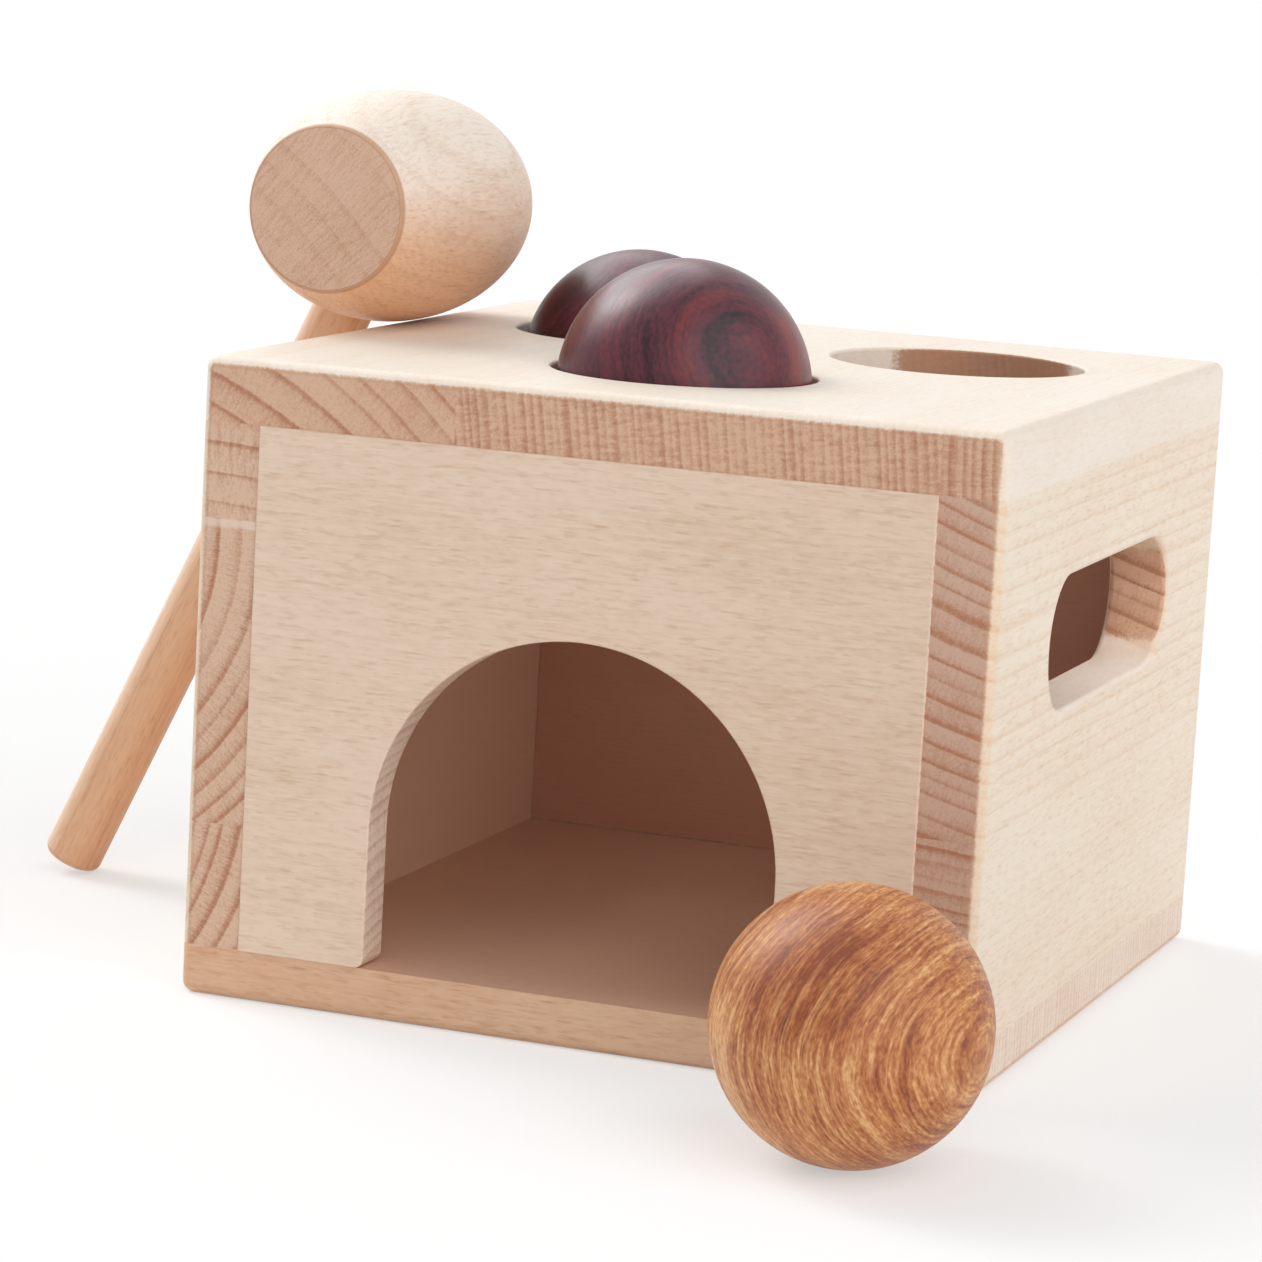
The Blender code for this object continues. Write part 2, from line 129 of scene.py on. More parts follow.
# Colours as the photograph shows them, in linear values
CREAM = (0.875, 0.788, 0.69)
CREAM_DEEP = (0.78, 0.62, 0.46)
SIDE_CREAM = (0.87, 0.75, 0.62)
SIDE_DEEP = (0.74, 0.55, 0.38)
HEAD_CREAM = (0.90, 0.79, 0.69)
HEAD_DEEP = (0.66, 0.43, 0.27)
HEAD_END = (0.68, 0.45, 0.325)
# Painted shade: the warm, darker colour where the mallet head faces down
HEAD_PAINTED_SHADE = (0.86, 0.46, 0.24)
HEAD_PAINTED_SHADE_DEEP = (0.56, 0.24, 0.10)
TAN = (0.80, 0.63, 0.49)
TAN_DEEP = (0.62, 0.41, 0.27)
END_TAN = (0.675, 0.435, 0.30)
END_LINE = (0.43, 0.185, 0.095)
END_GREY = (0.61, 0.40, 0.295)
LEFT_END = (0.70, 0.475, 0.34)
# Painted light in the carrying slots: lighter end grain and a paler upward-facing lip
SLOT_END_PAINTED_LIGHT = (0.80, 0.50, 0.345)
SLOT_LIP_PAINTED_LIGHT = (0.98, 0.88, 0.79)
SLOT_LIP_PAINTED_LIGHT_DEEP = (0.93, 0.78, 0.64)
# Painted shade: darker end grain on the walls of the pounding holes
HOLE_PAINTED_SHADE = (0.46, 0.265, 0.18)
END_PALE = (0.86, 0.72, 0.61)
END_PALE_LINE = (0.68, 0.47, 0.35)
JAMB_TAN = (0.86, 0.70, 0.57)
JAMB_LINE = (0.50, 0.30, 0.20)
BASE_TAN = (0.77, 0.51, 0.34)
BASE_DEEP = (0.56, 0.29, 0.155)
# Painted shade on the faces inside the box: the back panel, the inner sides, the top's underside and the
# inner floor
BACK_PAINTED_SHADE_TAN = (0.64, 0.33, 0.215)
INNER_PAINTED_SHADE_TAN = (0.84, 0.55, 0.39)
INNER_FLOOR_PAINTED_SHADE_TAN = (0.72, 0.44, 0.31)
RIM = (0.78, 0.50, 0.28)
ARRIS = (0.50, 0.25, 0.13)
SAPWOOD = (0.82, 0.66, 0.56)
HANDLE_TAN = (0.81, 0.485, 0.29)
HANDLE_DEEP = (0.60, 0.29, 0.15)
# Painted light where the handle faces up and painted shade where it faces down
HANDLE_PAINTED_LIGHT = (0.97, 0.76, 0.58)
HANDLE_PAINTED_LIGHT_DEEP = (0.80, 0.50, 0.31)
HANDLE_PAINTED_SHADE = (0.75, 0.40, 0.22)
HANDLE_PAINTED_SHADE_DEEP = (0.54, 0.24, 0.12)
CORD_DARK = (0.10, 0.055, 0.035)
CORD_PALE = (0.24, 0.15, 0.10)

# From the darkest layer of a ball's wood to the lightest
ROSEWOOD = ((0.020, 0.003, 0.007), (0.074, 0.013, 0.025), (0.122, 0.020, 0.030), (0.20, 0.030, 0.029))
PURPLEWOOD = ((0.018, 0.002, 0.006), (0.047, 0.007, 0.015), (0.085, 0.012, 0.025), (0.15, 0.024, 0.042))
STRIPED_BROWN = ((0.24, 0.060, 0.022), (0.40, 0.125, 0.042), (0.56, 0.235, 0.085), (0.76, 0.42, 0.19))


# Shader graphs
class Graph:
    """Builds one material's nodes. Every input may be a plain value or another node's output."""

    BUMP_STRENGTH = 0.5

    def __init__(self, name):
        self.material = bpy.data.materials.new(name)
        self.material.use_nodes = True
        self.tree = self.material.node_tree
        self.shader = self.tree.nodes["Principled BSDF"]
        self.coordinates = self.tree.nodes.new("ShaderNodeTexCoord")

    def feed(self, socket, value):
        """Link a socket to another node's output, or set its value. A colour may leave out alpha."""
        if isinstance(value, bpy.types.NodeSocket):
            self.tree.links.new(value, socket)
        elif isinstance(value, (int, float)):
            socket.default_value = value
        else:
            socket.default_value = (*value, 1)[:len(socket.default_value)]

    def place(self, kind, inputs, **settings):
        """A new node with its settings, and its inputs by socket name or number."""
        node = self.tree.nodes.new("ShaderNode" + kind)
        for setting, value in settings.items():
            setattr(node, setting, value)
        for socket, value in inputs.items():
            self.feed(node.inputs[socket], value)
        return node

    def math(self, operation, *values, clamp=False):
        inputs = dict(enumerate(values))
        return self.place("Math", inputs, operation=operation, use_clamp=clamp).outputs[0]

    def add(self, a, b):
        return self.math("ADD", a, b)

    def subtract(self, a, b):
        return self.math("SUBTRACT", a, b)

    def multiply(self, a, b):
        return self.math("MULTIPLY", a, b)

    def total(self, *parts, start=None):
        """The sum of (value, weight) parts, added to start where one is given."""
        result = start
        for value, weight in parts:
            weighted = self.multiply(value, weight)
            result = weighted if result is None else self.add(result, weighted)
        return result

    def step(self, value, low, high):
        """0 below low and 1 above high, smooth between; high may be the lower one."""
        start, end = (0.0, 1.0) if high > low else (1.0, 0.0)
        inputs = {"Value": value, "From Min": min(low, high), "From Max": max(low, high),
                  "To Min": start, "To Max": end}
        return self.place("MapRange", inputs, interpolation_type="SMOOTHSTEP").outputs["Result"]

    def mix(self, factor, a, b):
        """Colour a where the factor is 0 and colour b where it is 1."""
        return self.place("Mix", {0: factor, 6: a, 7: b}, data_type="RGBA").outputs[2]

    def split(self, vector):
        return tuple(self.place("SeparateXYZ", {0: vector}).outputs)

    def join(self, x, y, z):
        return self.place("CombineXYZ", {0: x, 1: y, 2: z}).outputs[0]

    def turn_back(self, vector, angles):
        """Undo a turn by Euler angles."""
        inputs = {"Vector": vector, "Rotation": angles}
        return self.place("VectorRotate", inputs, rotation_type="EULER_XYZ", invert=True).outputs[0]

    def dot(self, vector, direction):
        inputs = {0: vector, 1: direction}
        return self.place("VectorMath", inputs, operation="DOT_PRODUCT").outputs["Value"]

    def noise(self, vector, scale=1.0, detail=2.0, roughness=0.5):
        """Noise that is 0.5 on average."""
        inputs = {"Vector": vector, "Scale": scale, "Detail": detail, "Roughness": roughness}
        return self.place("TexNoise", inputs).outputs[0]

    def noise_round_0(self, vector, **settings):
        return self.subtract(self.noise(vector, **settings), 0.5)

    def ramp(self, value, stops):
        """The colour at a value on a ramp through (position, colour) stops."""
        node = self.place("ValToRGB", {0: value})
        elements = node.color_ramp.elements
        while len(elements) < len(stops):
            elements.new(0.5)
        for element, (position, colour) in zip(elements, stops):
            element.position = position
            element.color = (*colour, 1)
        return node.outputs[0]

    def curve(self, value, stops):
        """The height at a value on a line through (position, height) stops."""
        return self.ramp(value, [(position, (height, height, height)) for position, height in stops])

    def finish(self, colour, roughness, relief, depth):
        """Feed the shader, with relief of that depth as bump."""
        bump = self.place("Bump", {"Strength": self.BUMP_STRENGTH, "Distance": depth, "Height": relief})
        self.feed(self.shader.inputs["Base Color"], colour)
        self.feed(self.shader.inputs["Roughness"], roughness)
        self.feed(self.shader.inputs["Normal"], bump.outputs[0])
        return self.material


# Wood
# How unevenly the growth rings lie, as shares of their spacing, and over what lengths
RING_DRIFT = 1.3
RING_DRIFT_RATE = 0.45
RING_DRIFT_PLACE = (0.37, 0.21)
LONG_WAVE = (0.11, 0.038)
LONG_WAVE_SHIFT = 0.6
SHORT_WAVE = (0.028, 0.0048)
SHORT_WAVE_SHIFT = 0.16
# How strength and tone change from one ring to the next
RING_STRENGTH_RATE = 3.7
RING_STRENGTH_EDGE = (0.30, 0.60)
FAINTEST_RING = 0.4
RING_TONE_RATE = 5.3
# How far a ray runs along the grain
RAY_DEPTH = 0.025
# How near and how square to a plane a face has to be to lie in it
ON_FACE = (0.0006, 0.0003)
SQUARE_TO_FACE = (0.90, 0.99)


def ring_profile(late):
    """How dark one growth ring is from its inner to its outer edge, as (position, height) stops.
    late is the share of it that the dark late wood takes."""
    early = 1 - late
    return ((0, 0), (0.6 * early, 0.05), (early, 0.30), (1 - 0.6 * late, 0.80), (1 - 0.35 * late, 1.0),
            (1 - 0.15 * late, 0.70), (1, 0))


def heart_from(at, tilt, radius, side=1):
    """Where the heart of the tree lies, in the plane across the grain, if the growth rings have
    the given tilt in degrees at a point of the end grain. side says on which side it lies."""
    angle = radians(tilt) - side * pi / 2
    return (at[0] + radius * cos(angle), at[1] + radius * sin(angle))


class Wood:
    """The solid coordinates of one piece of wood: along its grain, across it, and round its heart."""

    def __init__(self, graph, grain, heart, turn):
        position = graph.coordinates.outputs["Object"]
        normal = graph.coordinates.outputs["Normal"]
        self.graph = graph
        self.place = graph.split(position)
        self.normal = graph.split(normal)
        if any(turn):
            position = graph.turn_back(position, turn)
            normal = graph.turn_back(normal, turn)
        x, y, z = graph.split(position)
        self.along, self.across, self.up = {"X": (x, y, z), "Y": (y, x, z), "Z": (z, x, y)}[grain]
        self.facing = graph.math("ABSOLUTE", graph.split(normal)["XYZ".index(grain)])
        aside = graph.subtract(self.across, heart[0])
        above = graph.subtract(self.up, heart[1])
        squares = graph.add(graph.multiply(aside, aside), graph.multiply(above, above))
        self.radius = graph.math("SQRT", squares)
        self.bearing = graph.math("ARCTAN2", above, aside)
        self.reach = hypot(heart[0], heart[1] - BENCH_HEIGHT / 2)

    def streaks(self, length, width, **settings):
        """Noise round 0 in streaks of about that length along the grain and that width across it."""
        graph = self.graph
        vector = graph.join(graph.multiply(self.along, 1 / length), graph.multiply(self.across, 1 / width),
                            graph.multiply(self.up, 1 / width))
        return graph.noise_round_0(vector, **settings)

    def rings(self, spacing, waver, late):
        """The darkness over each growth ring, and the tone of that whole ring, round 0."""
        graph = self.graph
        outward = graph.multiply(self.radius, RING_DRIFT_RATE / spacing)
        drift = graph.noise_round_0(graph.join(outward, *RING_DRIFT_PLACE), detail=1)
        shift = graph.total(
            (self.streaks(*LONG_WAVE, detail=1), LONG_WAVE_SHIFT * waver),
            (self.streaks(*SHORT_WAVE), SHORT_WAVE_SHIFT * waver),
            (drift, RING_DRIFT))
        count = graph.add(graph.math("DIVIDE", self.radius, spacing), shift)
        ring_number = graph.join(graph.math("FLOOR", count), 0.5, 0.5)
        strength = graph.noise(ring_number, scale=RING_STRENGTH_RATE, detail=0)
        strength = graph.multiply(graph.step(strength, *RING_STRENGTH_EDGE), 1 - FAINTEST_RING)
        strength = graph.add(strength, FAINTEST_RING)
        tone = graph.noise_round_0(ring_number, scale=RING_TONE_RATE, detail=0)
        darkness = graph.curve(graph.math("FRACT", count), ring_profile(late))
        return graph.multiply(darkness, strength), tone

    def rays(self, length, width):
        """Noise round 0 in fine lines that run straight out from the heart, across the rings."""
        graph = self.graph
        outward = graph.multiply(self.radius, 1 / length)
        around = graph.multiply(self.bearing, self.reach / width)
        inward = graph.multiply(self.along, 1 / RAY_DEPTH)
        return graph.noise_round_0(graph.join(outward, around, inward), detail=1)

    def from_plane(self, axis, place):
        return self.graph.math("ABSOLUTE", self.graph.subtract(self.place["XYZ".index(axis)], place))

    def on_face(self, axis, place):
        """1 on the faces that lie in one plane square to an axis."""
        graph = self.graph
        square_on = graph.math("ABSOLUTE", self.normal["XYZ".index(axis)])
        near = graph.step(self.from_plane(axis, place), *ON_FACE)
        return graph.multiply(near, graph.step(square_on, *SQUARE_TO_FACE))


# Beech
# Its marks, as (length along the grain, width across it)
FIBRE = (0.014, 0.0005)
PORE = (0.004, 0.0004)
RIPPLE = (0.0042, 0.0008)
BLOTCH = (0.06, 0.017)
FLECK = (0.0032, 0.0006)
LONG_FLECK = (0.007, 0.0008)
# How strong the finest noise is in the fibres
FIBRE_NOISE_ROUGHNESS = 0.6
# Its rays, as (length out from the heart, width)
LONG_RAY = (0.004, 0.0008)
SHORT_RAY = (0.0012, 0.0006)
# The noise at which a fleck starts and is full
FLECK_EDGE = (0.04, 0.20)
LONG_FLECK_EDGE = (0.08, 0.20)
# How strongly the marks darken long grain and end grain, and how dark either is without them
FLECK_WEIGHT = 0.55
LONG_FLECK_WEIGHT = 0.45
RIPPLE_WEIGHT = 1.6
FIBRE_WEIGHT = 0.6
BLOTCH_WEIGHT = 0.7
LONG_GROUND = 0.10
RING_TONE_WEIGHT = 0.5
PORE_WEIGHT = 0.9
END_BLOTCH_WEIGHT = 0.6
SHORT_RAY_WEIGHT = 0.7
END_GROUND = 0.12
# How far a face has to point along the grain, from none to full
END_GRAIN_FACING = (0.62, 0.76)
ARRIS_OUTSIDE = (0.66, 0.74)
ARRIS_INSIDE = (0.998, 0.982)
ROUND_OUTSIDE = (0.05, 0.50)
ROUND_INSIDE = (0.78, 0.66)
# How ragged the edge of the end grain is, and how much further it keeps to the flat outside
FRAY = 0.10
OUTER_SHIFT = 0.22
# How warm a worn edge is without rings, and how much more on them
EDGE_WARMTH = 0.7
EDGE_RING_WARMTH = 0.6
# Where a band fades out and where it is full, as shares of its half width
BAND_EDGE = (1.4, 0.6)
BEECH_ROUGHNESS = 0.54
FIBRE_ROUGHNESS = 0.16
FLECK_ROUGHNESS = 0.08
FIBRE_RELIEF = 0.5
FLECK_RELIEF = -0.6
BEECH_RELIEF_DEPTH = 0.00005


def long_grain_colour(wood, streak, pale, deep, painted_light_and_shade):
    graph = wood.graph
    colour = graph.mix(streak, pale, deep)
    # Painted light and shade: long grain facing up or down that far takes its own pale and deep colours
    for height, full_height, painted_pale, painted_deep, strength in painted_light_and_shade:
        reach = graph.step(wood.normal[2], height, full_height)
        painted_colour = graph.mix(streak, painted_pale, painted_deep)
        colour = graph.mix(graph.multiply(reach, strength), colour, painted_colour)
    return colour


def worn_edges(wood, colour, facing, ring, half_length, warm_round, arris, rim_line):
    """Warms the rounds beside the end grain, then darkens the edge of the end grain."""
    graph = wood.graph
    warmth = graph.add(graph.multiply(ring, EDGE_RING_WARMTH), EDGE_WARMTH)
    beside = graph.multiply(graph.step(wood.facing, *ROUND_OUTSIDE), graph.step(facing, *ROUND_INSIDE))
    colour = graph.mix(graph.multiply(graph.multiply(beside, warmth), warm_round), colour, RIM)
    if rim_line:
        from_middle = graph.math("ABSOLUTE", wood.along)
        near_end = graph.step(from_middle, half_length - rim_line, half_length - rim_line / 2)
        strength = arris
    else:
        near_end = graph.step(facing, *ARRIS_OUTSIDE)
        strength = graph.multiply(warmth, arris)
    at_arris = graph.multiply(near_end, graph.step(wood.facing, *ARRIS_INSIDE))
    return graph.mix(graph.multiply(at_arris, strength), colour, ARRIS)


def painted_shade_and_bands(wood, colour, faces, bands):
    """Paints whole faces in a darker colour as painted shade, and then colours layers of the wood."""
    graph = wood.graph
    for axis, place, shade_colour, strength in faces:
        colour = graph.mix(graph.multiply(wood.on_face(axis, place), strength), colour, shade_colour)
    for axis, place, half_width, band_colour, strength in bands:
        edge = [half_width * share for share in BAND_EDGE]
        inside = graph.step(wood.from_plane(axis, place), *edge)
        colour = graph.mix(graph.multiply(inside, strength), colour, band_colour)
    return colour


def beech(name, grain, heart, spacing, pale, deep, end, line, late=0.2, long_lines=0.4, end_lines=0.8,
          flecks=0.5, rays=0.6, waver=1.0, half_length=1.0, warm_round=0.4, arris=0.35, rim_line=0,
          turn=(0, 0, 0), cut=None, painted_light_and_shade=(), faces=(), bands=()):
    """Beech with its grain along the axis named by grain, as seen in the object's own axes.

    heart, spacing, late and waver set the growth rings. pale and deep colour the long grain, end
    and line the end grain. long_lines, end_lines, flecks and rays say how strongly these show.
    arris is how dark the edge of the end grain is, and warm_round how warm the round beside it.
    half_length is the piece's own, where its ends are rounded, and rim_line is how far from such
    an end a darker rim starts. turn holds the angles by which the mesh itself was turned. cut is
    the colour of the end grain inside openings, darker as painted shade in the holes and lighter as
    painted light in the slots. Painted light and shade on long grain is given as (height, full height,
    pale, deep, strength) for faces whose normal points up or down that far. faces are (axis, place,
    colour, strength) for whole faces, painted in a darker shade inside the box, and bands are (axis,
    place, half width, colour, strength) for layers of the wood.
    """
    graph = Graph(name)
    wood = Wood(graph, grain, heart, turn)
    ring, ring_tone = wood.rings(spacing, waver, late)
    fibre = wood.streaks(*FIBRE, detail=3, roughness=FIBRE_NOISE_ROUGHNESS)
    pores = wood.streaks(*PORE, detail=1)
    ripple = wood.streaks(*RIPPLE)
    blotch = wood.streaks(*BLOTCH)
    fleck = graph.step(wood.streaks(*FLECK, detail=1), *FLECK_EDGE)
    long_fleck = graph.step(wood.streaks(*LONG_FLECK, detail=1), *LONG_FLECK_EDGE)

    streak = graph.total(
        (ring, long_lines), (fleck, FLECK_WEIGHT * flecks), (long_fleck, LONG_FLECK_WEIGHT * flecks),
        (ripple, RIPPLE_WEIGHT * flecks), (fibre, FIBRE_WEIGHT), (blotch, BLOTCH_WEIGHT))
    streak = graph.math("ADD", streak, LONG_GROUND, clamp=True)
    long_grain = long_grain_colour(wood, streak, pale, deep, painted_light_and_shade)

    cross = graph.total(
        (ring, end_lines), (ring_tone, RING_TONE_WEIGHT * end_lines), (pores, PORE_WEIGHT),
        (blotch, END_BLOTCH_WEIGHT), (wood.rays(*LONG_RAY), rays),
        (wood.rays(*SHORT_RAY), SHORT_RAY_WEIGHT * rays))
    cross = graph.math("ADD", cross, END_GROUND, clamp=True)
    from_middle = graph.math("ABSOLUTE", wood.along)
    outer = graph.step(from_middle, half_length - 2 * OUTER_ROUND, half_length - OUTER_ROUND)
    end_grain = graph.mix(cross, graph.mix(outer, cut or end, end), line)

    # A rounded outer edge turns to long grain sooner than the wall of a hole does
    facing = graph.add(wood.facing, graph.multiply(graph.add(fibre, ripple), FRAY))
    facing = graph.subtract(facing, graph.multiply(outer, OUTER_SHIFT))
    colour = graph.mix(graph.step(facing, *END_GRAIN_FACING), long_grain, end_grain)
    colour = worn_edges(wood, colour, facing, ring, half_length, warm_round, arris, rim_line)
    colour = painted_shade_and_bands(wood, colour, faces, bands)

    roughness = graph.add(graph.total((fibre, FIBRE_ROUGHNESS), (fleck, FLECK_ROUGHNESS)), BEECH_ROUGHNESS)
    relief = graph.total((fibre, FIBRE_RELIEF), (fleck, FLECK_RELIEF))
    return graph.finish(colour, roughness, relief, BEECH_RELIEF_DEPTH)


# Meshes
def new_object(name, data):
    obj = bpy.data.objects.new(name, data)
    bpy.context.scene.collection.objects.link(obj)
    return obj


def mesh_from(shape, name):
    bmesh.ops.recalc_face_normals(shape, faces=shape.faces)
    mesh = bpy.data.meshes.new(name)
    shape.to_mesh(mesh)
    shape.free()
    return mesh


def block(name, low, high):
    shape = bmesh.new()
    bmesh.ops.create_cube(shape, size=1)
    for vertex in shape.verts:
        share = [value + 0.5 for value in vertex.co]
        vertex.co = [a + (b - a) * s for a, b, s in zip(low, high, share)]
    return new_object(name, mesh_from(shape, name))


def arc(centre, radius, start, end, steps):
    """Points along an arc, from the start angle to the end angle."""
    angles = [start + (end - start) * i / steps for i in range(steps + 1)]
    return [(centre[0] + radius * cos(a), centre[1] + radius * sin(a)) for a in angles]


def join_loops(shape, near, far):
    """A band of faces between two closed loops of as many points."""
    for i in range(len(near)):
        j = (i + 1) % len(near)
        shape.faces.new((near[i], near[j], far[j], far[i]))


def turned(name, profile, steps):
    """A solid turned about Z from a profile of (radius, height) points, both ends on the axis."""
    shape = bmesh.new()
    rows = []
    for radius, height in profile:
        if radius == 0:
            rows.append([shape.verts.new((0, 0, height))])
            continue
        angles = [2 * pi * i / steps for i in range(steps)]
        rows.append([shape.verts.new((radius * cos(a), radius * sin(a), height)) for a in angles])
    for first, second in zip(rows, rows[1:]):
        for i in range(steps):
            j = (i + 1) % steps
            corners = [first[i % len(first)], first[j % len(first)]]
            corners += [second[j % len(second)], second[i % len(second)]]
            shape.faces.new(list(dict.fromkeys(corners)))
    return new_object(name, mesh_from(shape, name))


def settle(obj, operations=()):
    """Apply an object's modifiers and then Booleans, in order: (cutter, operation) pairs."""
    for cutter, operation in operations:
        step = obj.modifiers.new("cut", "BOOLEAN")
        step.operation = operation
        step.solver = "EXACT"
        step.object = cutter
    graph = bpy.context.evaluated_depsgraph_get()
    mesh = bpy.data.meshes.new_from_object(obj.evaluated_get(graph))
    obj.modifiers.clear()
    obj.data = mesh
    return obj


def finish_piece(obj, name, material, body, node):
    """Smooth the rounds, keep the flats flat, and put the piece on its body."""
    obj.name = name
    obj.data.name = name
    obj.data.materials.clear()
    obj.data.materials.append(material)
    obj.data.shade_smooth()
    obj.data.set_sharp_from_angle(angle=SHARP_ANGLE)
    even = obj.modifiers.new("even normals", "WEIGHTED_NORMAL")
    even.keep_sharp = True
    even.weight = FLAT_FACE_WEIGHT
    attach(obj, body)
    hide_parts(node)
    return obj


def rounded_lip(radius, round_size, surface, inward):
    """(radius, level) pairs across a lip rounded where an opening meets a surface."""
    pairs = []
    for i in range(LIP_STEPS + 1):
        angle = pi / 2 * i / LIP_STEPS
        growth = round_size * (1 - sin(angle))
        level = surface + inward * round_size * (1 - cos(angle))
        pairs.append((radius + growth, level))
    return pairs


def hole_cutter(place):
    """A pounding hole: rounded lips above and below, and the ring's half-round groove."""
    half_opening = acos((HOLE_RADIUS - RING_RADIUS) / RING_GROOVE_RADIUS)
    groove = arc((RING_RADIUS, RING_LEVEL), RING_GROOVE_RADIUS, half_opening, -half_opening, GROOVE_STEPS)
    top_lip = rounded_lip(HOLE_RADIUS, HOLE_LIP_ROUND, BENCH_HEIGHT, -1)
    bottom_lip = rounded_lip(HOLE_RADIUS, HOLE_LIP_ROUND, TOP_UNDERSIDE, 1)
    above = BENCH_HEIGHT + CUT_OVERRUN
    below = TOP_UNDERSIDE - CUT_OVERRUN
    profile = [(0, above), (top_lip[0][0], above)]
    profile += top_lip + groove + bottom_lip[::-1]
    profile += [(bottom_lip[0][0], below), (0, below)]
    cutter = turned("hole", profile, HOLE_STEPS)
    cutter.location = (HOLE_PLACES[place].x, HOLE_PLACES[place].y, 0)
    return cutter


def slot_cutter(side):
    """The carrying slot through one side, with both of its lips rounded."""
    half_run = (SLOT_LENGTH - SLOT_HEIGHT) / 2
    height = BENCH_HEIGHT - SLOT_BELOW_TOP
    inner_lip = rounded_lip(SLOT_HEIGHT / 2, SLOT_LIP_ROUND, INNER_HALF_WIDTH, 1)
    outer_lip = rounded_lip(SLOT_HEIGHT / 2, SLOT_LIP_ROUND, HALF_WIDTH, -1)
    stations = [(inner_lip[0][0], INNER_HALF_WIDTH - CUT_OVERRUN)]
    stations += inner_lip + outer_lip[::-1]
    stations += [(outer_lip[0][0], HALF_WIDTH + CUT_OVERRUN)]
    shape = bmesh.new()
    loops = []
    for radius, out in stations:
        outline = arc((half_run, 0), radius, -pi / 2, pi / 2, SLOT_END_STEPS)
        outline += arc((-half_run, 0), radius, pi / 2, 3 * pi / 2, SLOT_END_STEPS)
        loops.append([shape.verts.new((side * out, y, height + z)) for y, z in outline])
    for near, far in zip(loops, loops[1:]):
        join_loops(shape, near, far)
    shape.faces.new(loops[0])
    shape.faces.new(loops[-1])
    return new_object("slot", mesh_from(shape, "slot"))


def outer_block():
    """The whole box with its outer edges rounded, which trims every board that shows outside."""
    obj = block("trim", (-HALF_WIDTH, -HALF_DEPTH, 0), (HALF_WIDTH, HALF_DEPTH, BENCH_HEIGHT))
    rounding = obj.modifiers.new("round", "BEVEL")
    rounding.width = OUTER_ROUND
    rounding.segments = OUTER_STEPS
    rounding.limit_method = "NONE"
    return settle(obj)


def soft_panel(node, outline):
    """An upright panel as deep as its node's box, from its (x, z) outline, edges softened."""
    low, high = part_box(node)
    thickness = high.y - low.y
    curve = bpy.data.curves.new(node, "CURVE")
    curve.dimensions = "2D"
    curve.fill_mode = "BOTH"
    curve.extrude = thickness / 2 - PANEL_SOFTENING
    curve.bevel_depth = PANEL_SOFTENING
    curve.bevel_resolution = SOFTENING_STEPS
    curve.offset = -PANEL_SOFTENING
    line = curve.splines.new("POLY")
    line.points.add(len(outline) - 1)
    for point, (x, z) in zip(line.points, outline):
        point.co = (x, z, 0, 1)
    line.use_cyclic_u = True
    drawn = new_object(node, curve)
    graph = bpy.context.evaluated_depsgraph_get()
    flat = bpy.data.meshes.new_from_object(drawn.evaluated_get(graph))
    bpy.data.objects.remove(drawn, do_unlink=True)
    shape = bmesh.new()
    shape.from_mesh(flat)
    bmesh.ops.remove_doubles(shape, verts=shape.verts, dist=MERGE_DISTANCE)
    bmesh.ops.dissolve_limit(shape, angle_limit=FLAT_ANGLE, verts=shape.verts, edges=shape.edges)
    upright = Matrix.Translation((0, low.y + thickness / 2, 0)) @ Matrix.Rotation(pi / 2, 4, "X")
    bmesh.ops.transform(shape, matrix=upright, verts=shape.verts)
    return new_object(node, mesh_from(shape, node))


# The boards
TRIM = outer_block()
HOLES = {place: hole_cutter(place) for place in HOLE_PLACES}
SLOTS = {side: slot_cutter(side) for side in (-1, 1)}
# The boards' blocks reach this far, and are trimmed to the box
WIDE = HALF_WIDTH + CUT_OVERRUN
DEEP = HALF_DEPTH + CUT_OVERRUN


def board(node, low, high, cutters, material):
    """A board cut from a block, trimmed to the box's rounded outside."""
    obj = block(node, low, high)
    settle(obj, [(TRIM, "INTERSECT")] + [(cutter, "DIFFERENCE") for cutter in cutters])
    finish_piece(obj, "visual_" + node, material, "box", node)


def top_board(node, left, right, holes, material):
    low = (left, -DEEP, TOP_UNDERSIDE)
    high = (right, DEEP, BENCH_HEIGHT + CUT_OVERRUN)
    board(node, low, high, [HOLES[place] for place in holes], material)


def side_board(node, side, bottom, top, slotted, material):
    """A board of the left side (-1) or the right side (1)."""
    ends = sorted((side * INNER_HALF_WIDTH, side * WIDE))
    low = (ends[0], -DEEP, bottom)
    high = (ends[1], DEEP, top)
    board(node, low, high, [SLOTS[side]] if slotted else [], material)


def outer_board(name, heart, spacing, **looks):
    """Beech of a top or side board, whose grain runs from front to back."""
    looks = {"pale": SIDE_CREAM, "deep": SIDE_DEEP, "end": END_TAN, "line": END_LINE} | looks
    return beech(name, "Y", heart, spacing, half_length=HALF_DEPTH, **looks)


# Painted shade on whole faces inside the box
UNDERSIDE_PAINTED_SHADE = ("Z", TOP_UNDERSIDE, INNER_PAINTED_SHADE_TAN, 0.9)
LEFT_INNER_PAINTED_SHADE = ("X", -INNER_HALF_WIDTH, INNER_PAINTED_SHADE_TAN, 0.9)
RIGHT_INNER_PAINTED_SHADE = ("X", INNER_HALF_WIDTH, INNER_PAINTED_SHADE_TAN, 0.9)
INNER_FLOOR_PAINTED_SHADE = ("Z", FLOOR_LEVEL, INNER_FLOOR_PAINTED_SHADE_TAN, 0.8)
SAP_BELOW_JOINT = 0.0009
SAP_HALF_WIDTH = 0.0008
SAP_BAND = ("Z", LEFT_HIGH_JOINT - SAP_BELOW_JOINT, SAP_HALF_WIDTH, SAPWOOD, 0.6)
